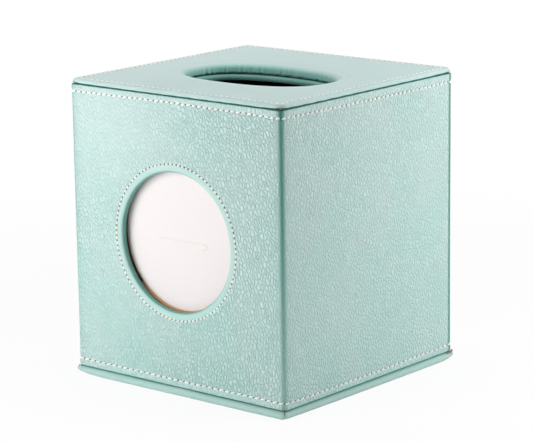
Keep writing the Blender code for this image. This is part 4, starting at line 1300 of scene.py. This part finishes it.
def makeTube(name, paths, radius, material, body):
    # Thin closed tubes: a six-sided ring carried along each path (n, points, 3) and drawn to a point at both
    # ends
    paths = np.asarray(paths, float)
    tangent = unit(np.gradient(paths, axis=1))
    upright = np.array([0.3, 0.2, 1.0])
    aside = unit(np.cross(tangent, upright))
    over = np.cross(aside, tangent)
    turn = math.tau * np.arange(7) / 6
    share = np.sin(np.linspace(0, math.pi, paths.shape[1])) ** 0.35
    share[[0, -1]] = 0
    size = (radius * share)[None, :, None, None]
    grid = paths[:, :, None] + size * (aside[:, :, None] * np.cos(turn)[None, None, :, None]
                                       + over[:, :, None] * np.sin(turn)[None, None, :, None])
    grid[:, :, -1] = grid[:, :, 0]
    uv = np.stack(np.broadcast_arrays(np.arange(paths.shape[1])[None, :, None] * 0.4 * mm,
                                      turn[None, None] * radius,
                                      grid[..., 0]), -1)[..., :2]
    piece = makePiece(name, [(grid, uv)], material, sharpAngle=80)
    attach(piece, body)


rawEdges = {
    "foldRadius": 0.42 * mm,
    "foldLevel": 143.2 * mm,
    # inset at the middle, how much more it is at the ends, and how far away those are
    "foldCurve": (0.75 * mm, 0.25 * mm, 0.9 * mm),
    "mitreRadius": 0.20 * mm,
    "mitreCurve": (0.75 * mm, 0.2 * mm, 1.2 * mm),
    "cornerRadius": 0.52 * mm,
}


def cornerPaths(half, corner, spread, curve, levels):
    # One short path across each corner
    total = 4 * sideLength(half, corner)
    middle, more, width = curve
    paths = []
    for place in np.arange(4) * total / 4:
        columns = columnsAt(np.mod(place + spread, total), half, corner)
        flat = outlineAt(columns, half, corner, middle + more * (spread / width) ** 2)
        paths.append(np.column_stack([flat, levels]))
    return paths


def makeRawEdges():
    # Cut edges of the skin that show brown: where the top's fold is trimmed at its corners, and where the
    # base's mitres meet the walls' corners
    spread = np.linspace(-0.9, 0.9, 9) * mm
    paths = cornerPaths(box["half"], box["corner"], spread, rawEdges["foldCurve"],
                        rawEdges["foldLevel"] + 0.15 * mm * np.cos(spread / mm))
    makeTube("foldEdges", paths, rawEdges["foldRadius"], palette["raw"], "cover")

    half, corner = base["half"], base["corner"]
    spread = np.linspace(-1.1, 1.3, 9) * mm
    paths = cornerPaths(half, corner, spread, rawEdges["mitreCurve"],
                        base["top"] - 0.3 * mm + 0.08 * mm * np.cos(spread / mm))
    makeTube("mitreEdges", paths, rawEdges["mitreRadius"], palette["raw"], "base")

    spread = np.linspace(-6.4, 1.8, 15) * mm
    columns = columnsAt(2 * sideLength(half, corner) + spread, half, corner)
    flat = outlineAt(columns, half, corner, 0.62 * mm + 0.25 * mm * smoothStep(-spread, 2 * mm, 6 * mm))
    makeTube("cornerEdge", [np.column_stack([flat, np.linspace(3.6, 3.95, 15) * mm])], rawEdges["cornerRadius"],
             palette["raw"], "base")


# Hinge: one strip, glued to the base in front and sewn to the back wall above the fold.
hinge = {
    "half": 59.0 * mm,
    "front": 50.0 * mm,
    "under": 4.2 * mm,
    "skin": 0.8 * mm,
    "foldCentre": (65.0 * mm, 5.3 * mm),
    "foldRadius": 0.3 * mm,
    "top": 19.3 * mm,
    "lowRow": 7.4 * mm,
    "highRow": 16.8 * mm,
    "rowEnd": 57.5,                 # where its rows end at each side, in millimetres
    "rowPlaces": 36,
    "columns": 132,
}


def makeHingeStrip():
    # The strip's outline (y, level) carried along x, thinned at both ends. Both rows press into its outer face.
    skin, (foldY, foldZ), inner = hinge["skin"], hinge["foldCentre"], hinge["foldRadius"]
    outer = inner + skin
    front, under, top = hinge["front"], hinge["under"], hinge["top"]
    bends = np.radians(np.linspace(270, 360, 8))
    levels = np.concatenate([np.arange(5.8, 19.0, 0.3), [19.0, 19.18]]) * mm
    outline = [(y * mm, under) for y in (50.25, 52, 55, 58, 61, 63, 64.3)]
    outline += [(foldY + outer * math.cos(a), foldZ + outer * math.sin(a)) for a in bends]
    outline += [(foldY + outer, level) for level in levels] + [(foldY + outer - 0.15 * mm, top),
            (foldY + inner + 0.15 * mm, top)]
    outline += [(foldY + inner, level) for level in levels[::-4]]
    outline += [(foldY + inner * math.cos(a), foldZ + inner * math.sin(a)) for a in bends[::-2]]
    outline += [(y * mm, under + skin) for y in (63, 61, 58, 55, 52, 50.25)] + [(front, under + skin * 0.7),
            (front, under + skin * 0.3)]
    outline = np.array(outline + outline[:1])
    x = np.linspace(hinge["half"], -hinge["half"], hinge["columns"])
    y = np.repeat(outline[:, :1], len(x), 1)
    z = np.repeat(outline[:, 1:], len(x), 1)
    outside = (outline[:, 0] > foldY + outer - 0.02 * mm)[:, None] & (z > foldZ)
    edge = hinge["half"] - np.abs(x)[None]
    rows = rowRelief(hinge["lowRow"] - z, 3 * mm) + rowRelief(z - hinge["highRow"], top - hinge["highRow"])
    y = y + np.where(outside, rows * smoothStep(edge, 0.5 * mm, 2 * mm), 0)
    middleY = np.where(z > foldZ, foldY + (inner + outer) / 2, y)
    middleZ = np.where(z > foldZ, z, np.where(y < foldY, under + skin / 2, z))
    thin = 0.55 + 0.45 * smoothStep(edge, 0, 0.9 * mm)
    y = middleY + (y - middleY) * thin
    z = middleZ + (z - middleZ) * thin
    grid = np.stack([np.broadcast_to(x[None], y.shape), y, z], -1)
    run = runOf(np.linalg.norm(np.diff(outline, axis=0), axis=1))
    uv = uvGrid(x[None], run[:, None])
    caps = [grid[:-1, 0], grid[:-1, -1][::-1]]
    wearAndPaintedLight = np.clip(bell(np.hypot(grid[..., 1] - foldY, grid[..., 2] - foldZ) - outer, 0.5 * mm)
                   * (grid[..., 2] < 6 * mm) * (grid[..., 1] > 64.5 * mm), 0, 1).reshape(-1)
    wearAndPaintedLight = np.concatenate([wearAndPaintedLight, np.zeros(2 * len(caps[0]))])
    piece = makePiece("hingeStrip", [(grid, uv)], palette["baseHide"], caps=caps, attributes={"wearAndPaintedLight": wearAndPaintedLight})
    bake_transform(piece)
    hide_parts("hinge_strip")


# Card behind the window, with a shallow cut tongue.
card = {
    "half": 45 * mm,
    "corner": 3 * mm,
    "front": -59.8 * mm,
    "back": -59.4 * mm,
    # the cut, in millimetres: one long line that turns down and back at its right end
    "slit": [(-14.9, 73.35), (-5, 73.5), (5, 73.65), (13.9, 73.8), (14.8, 73.6), (15.3, 73.0), (15.35, 72.3),
             (15.0, 71.6), (14.2, 71.2), (13.0, 71.1)],
    "slitWidth": 0.24 * mm,
    "slitDepth": 0.30 * mm,
    "tongueLift": 0.07 * mm,
}


def distanceToLine(x, z, points):
    # Shortest distance to a line through points, over its straight parts
    best = np.full(x.shape, 1.0)
    for (ax, az), (bx, bz) in zip(points, points[1:]):
        run = np.array([bx - ax, bz - az])
        share = np.clip(((x - ax) * run[0] + (z - az) * run[1]) / (run @ run), 0, 1)
        best = np.minimum(best, np.hypot(x - ax - share * run[0], z - az - share * run[1]))
    return best


def makeWindowCard():
    # A sheet on a grid of uneven lines, closest round the cut, whose rim and back close it
    half = card["half"]
    fine = np.arange(11.8, 16.3, 0.18) * mm
    x = np.concatenate([[-45, -42, -38, -32, -26, -21, -18, -16, -15.2, -14.9, -14.5],
                        np.linspace(-13.5, 11.2, 24), fine / mm,
                        [18, 21, 26, 32, 38, 42, 45]]) * mm
    z = (np.concatenate([[28.5, 31.5, 36, 42, 48, 54, 60, 65, 68], np.arange(70.0, 74.7, 0.15),
                         [76, 79, 84, 90, 96, 102, 108, 115.5, 118.5]]) * mm)
    grid = np.stack(np.meshgrid(x, z), -1)
    off = distanceToLine(grid[..., 0], grid[..., 1], np.array(card["slit"]) * mm)
    inside = smoothStep(grid[..., 0], 9 * mm, 14 * mm) * (1 - smoothStep(grid[..., 0], 14.6 * mm, 15.2 * mm))
    inside = (inside * smoothStep(grid[..., 1], 71.2 * mm, 72.0 * mm)
              * (1 - smoothStep(grid[..., 1], 73.3 * mm, 73.7 * mm)))
    slow = np.sin(grid[..., 0] / (16 * mm) + 0.4) * np.sin(grid[..., 1] / (21 * mm)) * 0.02 * mm
    depth = (card["front"] + card["slitDepth"] * bell(off, card["slitWidth"]) - card["tongueLift"] * inside
             + slow)
    middle = np.array([0, box["windowHeight"]])
    away = np.abs(grid - middle) - (half - card["corner"])
    beyond = np.maximum(away, 0)
    length = np.linalg.norm(beyond, axis=-1, keepdims=True)
    pulled = np.where((length > card["corner"]) & (away.min(-1, keepdims=True) > 0),
                      beyond * card["corner"] / np.maximum(length, 1e-9), beyond)
    flat = middle + np.sign(grid - middle) * (np.minimum(np.abs(grid - middle), half - card["corner"]) + pulled)
    flat = np.where(away[..., :1].clip(0) + away[..., 1:].clip(0) > 0, flat, grid)
    front = np.stack([flat[..., 0], depth, flat[..., 1]], -1)
    rear = front.copy()
    rear[..., 1] = card["back"]
    rim = [np.stack([front[0], rear[0]]), np.stack([rear[-1], front[-1]]), np.stack([rear[:, 0], front[:, 0]]),
           np.stack([front[:, -1], rear[:, -1]])]
    patches = [(front, flat), (rear[:, ::-1], flat[:, ::-1])]
    patches += [(rim[0][::-1], rim[0][::-1][..., [0, 2]]), (rim[1][::-1], rim[1][::-1][..., [0, 2]])]
    patches += [(each.transpose(1, 0, 2), each.transpose(1, 0, 2)[..., [0, 2]]) for each in rim[2:]]
    piece = makePiece("windowCard", patches, palette["card"], sharpAngle=70)
    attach(piece, "cover")
    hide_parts("window_card")


# Brown board behind the wall: its hole sits a little high, so its edge shows along the bottom of the window.
mount = {
    "half": 45 * mm,
    "front": -61.0 * mm,
    "back": -60.1 * mm,
    "holeRadius": 34.3 * mm,
    "holeMiddle": (-0.15 * mm, 1.15 * mm),
    "rough": 0.05 * mm,
}


def makeWindowMount():
    # Loops from the hole's edge to a square outline, in front, round its rim and behind, and back through the
    # hole
    count = 240
    angle = math.radians(-135) + math.tau * np.arange(count + 1) / count
    turn = np.arange(count + 1) / count
    direction = np.stack([np.cos(angle), np.sin(angle)], -1)
    square = direction / np.abs(direction).max(1, keepdims=True) * mount["half"]
    frayed = (0.6 * ripple(turn, 30, 90, 51) + 0.4 * ripple(turn, 90, 118, 52)) * mount["rough"]
    hole = direction * (mount["holeRadius"] + frayed)[:, None] + np.array(mount["holeMiddle"])
    front, back = mount["front"], mount["back"]
    rows = []
    for share, depth in ((0, front + 0.06 * mm), (0.004, front), (0.05, front), (0.5, front), (1, front),
                         (1, back), (0.5, back),
                         (0.004, back), (0, back - 0.06 * mm), (-0.003, (front + back) / 2),
                         (0, front + 0.06 * mm)):
        flat = hole * (1 - share) + square * share
        rows.append(np.stack([flat[:, 0], np.full(count + 1, depth), flat[:, 1] + box["windowHeight"]], -1))
    grid = np.array(rows)
    grid[:, -1] = grid[:, 0]
    # Painted shade on the hole's edge, from the top round the left side to the lower left, where the rim hides
    # it from the light
    paintedEdgeShade = (0.97 * (1 - smoothStep(angle, math.radians(-148), math.radians(-122)))
               + 0.97 * smoothStep(angle, math.radians(60), math.radians(100)))
    paintedEdgeShade = np.broadcast_to(paintedEdgeShade[None], grid.shape[:2]).reshape(-1)
    piece = makePiece("windowMount", [(grid, grid[..., [0, 2]])], palette["kraft"],
                      attributes={"paintedEdgeShade": paintedEdgeShade})
    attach(piece, "cover")
    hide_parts("window_mount")


# Linings: cloth-covered sheets, slightly soft at their edges.
lining = {
    "nodes": {"front_lining": "cover", "back_lining": "cover", "left_lining": "cover", "right_lining": "cover",
              "base_lining": "base"},
    "edge": 0.25 * mm,
    "soft": 0.05 * mm,
    "ceilingHalf": 61.0 * mm,
    "ceilingHole": -4.8 * mm,
    "ceilingLow": 136.4 * mm,
    "ceilingHigh": 136.9 * mm,
}


def makeLining(node, body):
    # Loops of a rounded rectangle, grown from a point in the middle of one side, round the edge, to the other
    # side
    low, high = (np.array(corner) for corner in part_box(node))
    size = high - low
    thin = int(np.argmin(size))
    wide = [axis for axis in range(3) if axis != thin]
    halves = size[wide] / 2
    middle = (low + high) / 2
    places = np.linspace(0, 4, 4 * 22 + 1)
    columns = columnsAt(places * sideLength(halves[0], lining["edge"]), halves[0], lining["edge"])
    rows = []
    for share, inset, side in ([(s, 0, -1) for s in (0, 0.3, 0.6, 0.85, 0.97)]
                               + [(1, 0.2, -1), (1, 0, -0.5), (1, 0, 0.5), (1, 0.2, 1)]
                               + [(s, 0, 1) for s in (0.97, 0.85, 0.6, 0.3, 0)]):
        flat = (outlineAt(columns, halves[0], lining["edge"], np.full(len(places), inset * lining["edge"]))
                / halves[0])
        flat = flat * halves * share
        wave = np.sin(flat[:, 0] / (13 * mm) + 1) * np.sin(flat[:, 1] / (17 * mm) + 2)
        row = np.zeros((len(places), 3))
        row[:, wide] = flat + middle[wide]
        row[:, thin] = (middle[thin] + side * size[thin] / 2
                        - side * lining["soft"] * (0.5 + 0.5 * wave) * (share < 1))
        rows.append(row)
    grid = np.array(rows)
    grid[:, -1] = grid[:, 0]
    piece = makePiece(node.replace("_l", "L"), [(grid, grid[..., wide])], palette["lining"], sharpAngle=60)
    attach(piece, body)
    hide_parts(node)


def makeCeilingLining():
    # A ring between the box's outline and the slot's outline, drawn from its lower outer edge inwards and back
    # above
    half, low, high = lining["ceilingHalf"], lining["ceilingLow"], lining["ceilingHigh"]
    count = 160
    side = sideLength(half, 0.5 * mm)
    columns = columnsAt(np.arange(count + 1) * 4 * side / count, half, 0.5 * mm)
    outer = outlineAt(columns, half, 0.5 * mm, np.zeros(count + 1))
    inner = slotAt(count, lining["ceilingHole"])
    rows = []
    for share, level in ((0, high), (0, low + 0.1 * mm), (0.005, low), (0.35, low + 0.03 * mm), (0.7, low),
                         (0.99, low), (1, low + 0.1 * mm),
                         (1, high), (0.5, high), (0, high)):
        rows.append(np.column_stack([outer * (1 - share) + inner * share, np.full(count + 1, level)]))
    grid = np.array(rows)
    grid[:, -1] = grid[:, 0]
    piece = makePiece("ceilingLining", [(grid, grid[..., :2])], palette["lining"], sharpAngle=60)
    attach(piece, "cover")
    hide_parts("ceiling_lining")


makeTopLeather()
makeFoldShadeStrip()
makeSlotRing()
makeBaseLeather()
makeRawEdges()
makeHingeStrip()
makeWindowMount()
makeWindowCard()
for node, body in lining["nodes"].items():
    makeLining(node, body)
makeCeilingLining()
print("leather, card and linings ready")


def sewRow(name, places, surfaceAt, body, seed, closed=True, size=seam["holeSize"]):
    makeStitches(name + "Stitches", places, surfaceAt, body, seed)
    makeHoles(name + "Holes", places[:-1] if closed else places, surfaceAt, body, size)


def sewAll():
    half, corner = box["half"], box["corner"]
    inset = topPanel["rowInset"]
    rowHalf, rowCorner = half - inset, topPanel["corner"] - inset
    places = np.linspace(0, 4 * sideLength(rowHalf, rowCorner), 4 * topPanel["rowPerSide"] + 1)
    sewRow("topRow", places, outlineRow(rowHalf, rowCorner, box["height"], True), "cover", 1,
           size=seam["bigHoleSize"])
    total = 4 * sideLength(half, corner)
    places = np.linspace(0, total, 4 * wall["topRowPerSide"] + 1)
    sewRow("wallTopRow", places, outlineRow(half, corner, wall["topRow"], row="top"), "cover", 2)
    places = np.linspace(0, total, 4 * wall["footRowPerSide"] + 1)[:-1]
    foot = outlineRow(half, corner, wall["footRow"], row="foot")
    spots = foot(places)[0]
    behind = np.flatnonzero((spots[:, 1] > half - 1 * mm) & (np.abs(spots[:, 0]) < wall["notchHalf"]))
    places = np.concatenate([places[behind[-1] + 1:], total + places[:behind[0]]])
    sewRow("wallFootRow", places, foot, "cover", 3, closed=False)
    places = np.linspace(0, math.tau * wall["ringRadius"], wall["ringCount"] + 1)
    sewRow("windowRing", places, ringRow(wall["ringRadius"], -half, box["windowHeight"]), "cover", 4,
           size=seam["bigHoleSize"])
    outer = hinge["foldCentre"][0] + hinge["foldRadius"] + hinge["skin"]
    places = np.linspace(-hinge["rowEnd"], hinge["rowEnd"], hinge["rowPlaces"]) * mm
    sewRow("hingeLowRow", places, backRow(outer, hinge["lowRow"]), "cover", 5, closed=False)
    sewRow("hingeHighRow", places, backRow(outer, hinge["highRow"]), "cover", 6, closed=False)


sewAll()
print("rows of stitches sewn")


# Finishes of the solids that keep their shape.
solidFinishes = {
    "front_board": "greyBoard", "back_board": "greyBoard", "left_board": "greyBoard",
    "right_board": "greyBoard",
    "top_board": "greyBoard", "ceiling_board": "greyBoard", "base_board": "greyBoard", "top_card": "card",
    "base_magnet_left": "magnet", "base_magnet_right": "magnet",
    "wall_magnet_left": "magnet", "wall_magnet_right": "magnet",
}
for node, finish in solidFinishes.items():
    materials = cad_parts[node].data.materials
    materials.clear()
    materials.append(palette[finish])
print("solids finished:", len(solidFinishes))


# Floor, lights and camera.
studio = {
    "floorColour": (0.86, 0.87, 0.87),
    "floorWhite": 0.92,            # share of plain white that the camera sees on the floor near the object
    "skyForLight": (0.10, 0.10, 0.10),
    "lamps": [
        # name, place, point it faces, width and height, watts
        ("leftSoftbox", (-0.12, -0.36, 0.14), (0.0, 0.0, 0.075), (0.28, 0.28), 0.82),
        ("upperLeftSoftbox", (-0.16, -0.35, 0.25), (0.0, 0.0, 0.075), (0.20, 0.20), 0.16),
        ("frontSoftbox", (0.0, -0.60, 0.12), (0.0, 0.0, 0.075), (0.40, 0.40), 0.46),
        ("rightSoftbox", (0.34, 0.20, 0.22), (0.0, 0.0, 0.075), (0.25, 0.25), 1.23),
        ("topSoftbox", (-0.10, 0.10, 0.62), (0.0, 0.0, 0.075), (0.40, 0.40), 1.77),
    ],
    "cameraPlace": (0.74159573, -0.88238533, 0.33057300),
    "cameraRight": (0.76793854, 0.64038019, -0.01354991),
    "cameraUp": (-0.12986727, 0.17638110, 0.97571728),
    "cameraBack": (0.62721997, -0.74753121, 0.21861427),
    "lens": 164.69,
    "sensor": 36.0,
}


def seenByEye(tree):
    # 1 for rays from the camera and for mirrored and transmitted ones
    path = addNode(tree, "ShaderNodeLightPath").outputs
    return addMath(tree, "MAXIMUM", path["Is Camera Ray"],
                   addMath(tree, "MAXIMUM", path["Is Glossy Ray"], path["Is Transmission Ray"]))


def standAt(piece, columns):
    # Sets a camera or lamp by its right, up and back directions and its place
    piece.matrix_world = Matrix(np.vstack([np.column_stack(columns), [0, 0, 0, 1]]).tolist())


def makeFloor():
    # A flat sheet under the object, far wider than the view, with faint clouds in its tone and roughness
    spread = np.linspace(-3, 3, 9)
    x, y = np.meshgrid(spread, spread)
    grid = np.stack([x, y, np.zeros_like(x)], -1)
    material, tree, shader = newMaterial("paleFloor", studio["floorColour"], 0.8, specular=0.2)
    place = objectPlace(tree)
    cloud = placeEffect(tree, "mottle", {"Vector": place, "Cloud Size": 0.4, "Fleck Size": 0.002})
    tree.links.new(addMix(tree, cloud["Clouds"], rgba(studio["floorColour"]), rgba((0.88, 0.885, 0.885))),
                   shader.inputs["Base Color"])
    tree.links.new(addRange(tree, cloud["Clouds"], 0.0, 1.0, 0.75, 0.85), shader.inputs["Roughness"])
    white = addNode(tree, "ShaderNodeEmission", {"Color": rgba((1.0, 1.0, 1.0)), "Strength": 1.0})
    seen = seenByEye(tree)
    spot = addNode(tree, "ShaderNodeVectorMath", {0: place}, operation="LENGTH").outputs["Value"]
    share = times(tree, seen, addRange(tree, spot, 0.12, 0.5, studio["floorWhite"], 1.0))
    mixed = addNode(tree, "ShaderNodeMixShader", {0: share, 1: shader.outputs["BSDF"], 2: white.outputs[0]})
    tree.links.new(mixed.outputs[0], tree.nodes["Material Output"].inputs["Surface"])
    floor = makePiece("paleFloor", [(grid, grid[..., :2])], material)


def makeWorld():
    # White to the eye and in reflections, a soft grey as light
    world = bpy.data.worlds.new("studio")
    world.use_nodes = True
    tree = world.node_tree
    background = tree.nodes["Background"]
    background.inputs["Color"].default_value = rgba(studio["skyForLight"])
    white = addNode(tree, "ShaderNodeBackground", {"Color": rgba((1.0, 1.0, 1.0)), "Strength": 1.0})
    seen = seenByEye(tree)
    mixed = addNode(tree, "ShaderNodeMixShader", {0: seen, 1: background.outputs[0], 2: white.outputs[0]})
    tree.links.new(mixed.outputs[0], tree.nodes["World Output"].inputs["Surface"])
    bpy.context.scene.world = world


def addSoftbox(name, place, target, size, watts):
    light = bpy.data.lights.new(name, "AREA")
    light.shape = "RECTANGLE"
    light.size, light.size_y = size
    light.energy = watts
    lamp = bpy.data.objects.new(name, light)
    bpy.context.scene.collection.objects.link(lamp)
    back = unit(np.array(place) - np.array(target))
    right = unit(np.cross([0, 0, 1], back))
    standAt(lamp, [right, np.cross(back, right), back, place])


def addCamera():
    data = bpy.data.cameras.new("camera")
    data.lens = studio["lens"]
    data.sensor_width = studio["sensor"]
    data.sensor_fit = "HORIZONTAL"
    data.clip_start = 0.05
    data.clip_end = 50
    camera = bpy.data.objects.new("camera", data)
    bpy.context.scene.collection.objects.link(camera)
    standAt(camera, [studio[word] for word in ("cameraRight", "cameraUp", "cameraBack", "cameraPlace")])
    bpy.context.scene.camera = camera


makeFloor()
makeWorld()
for lamp in studio["lamps"]:
    addSoftbox(*lamp)
addCamera()
bpy.context.scene.view_settings.view_transform = "Standard"
print("studio ready")
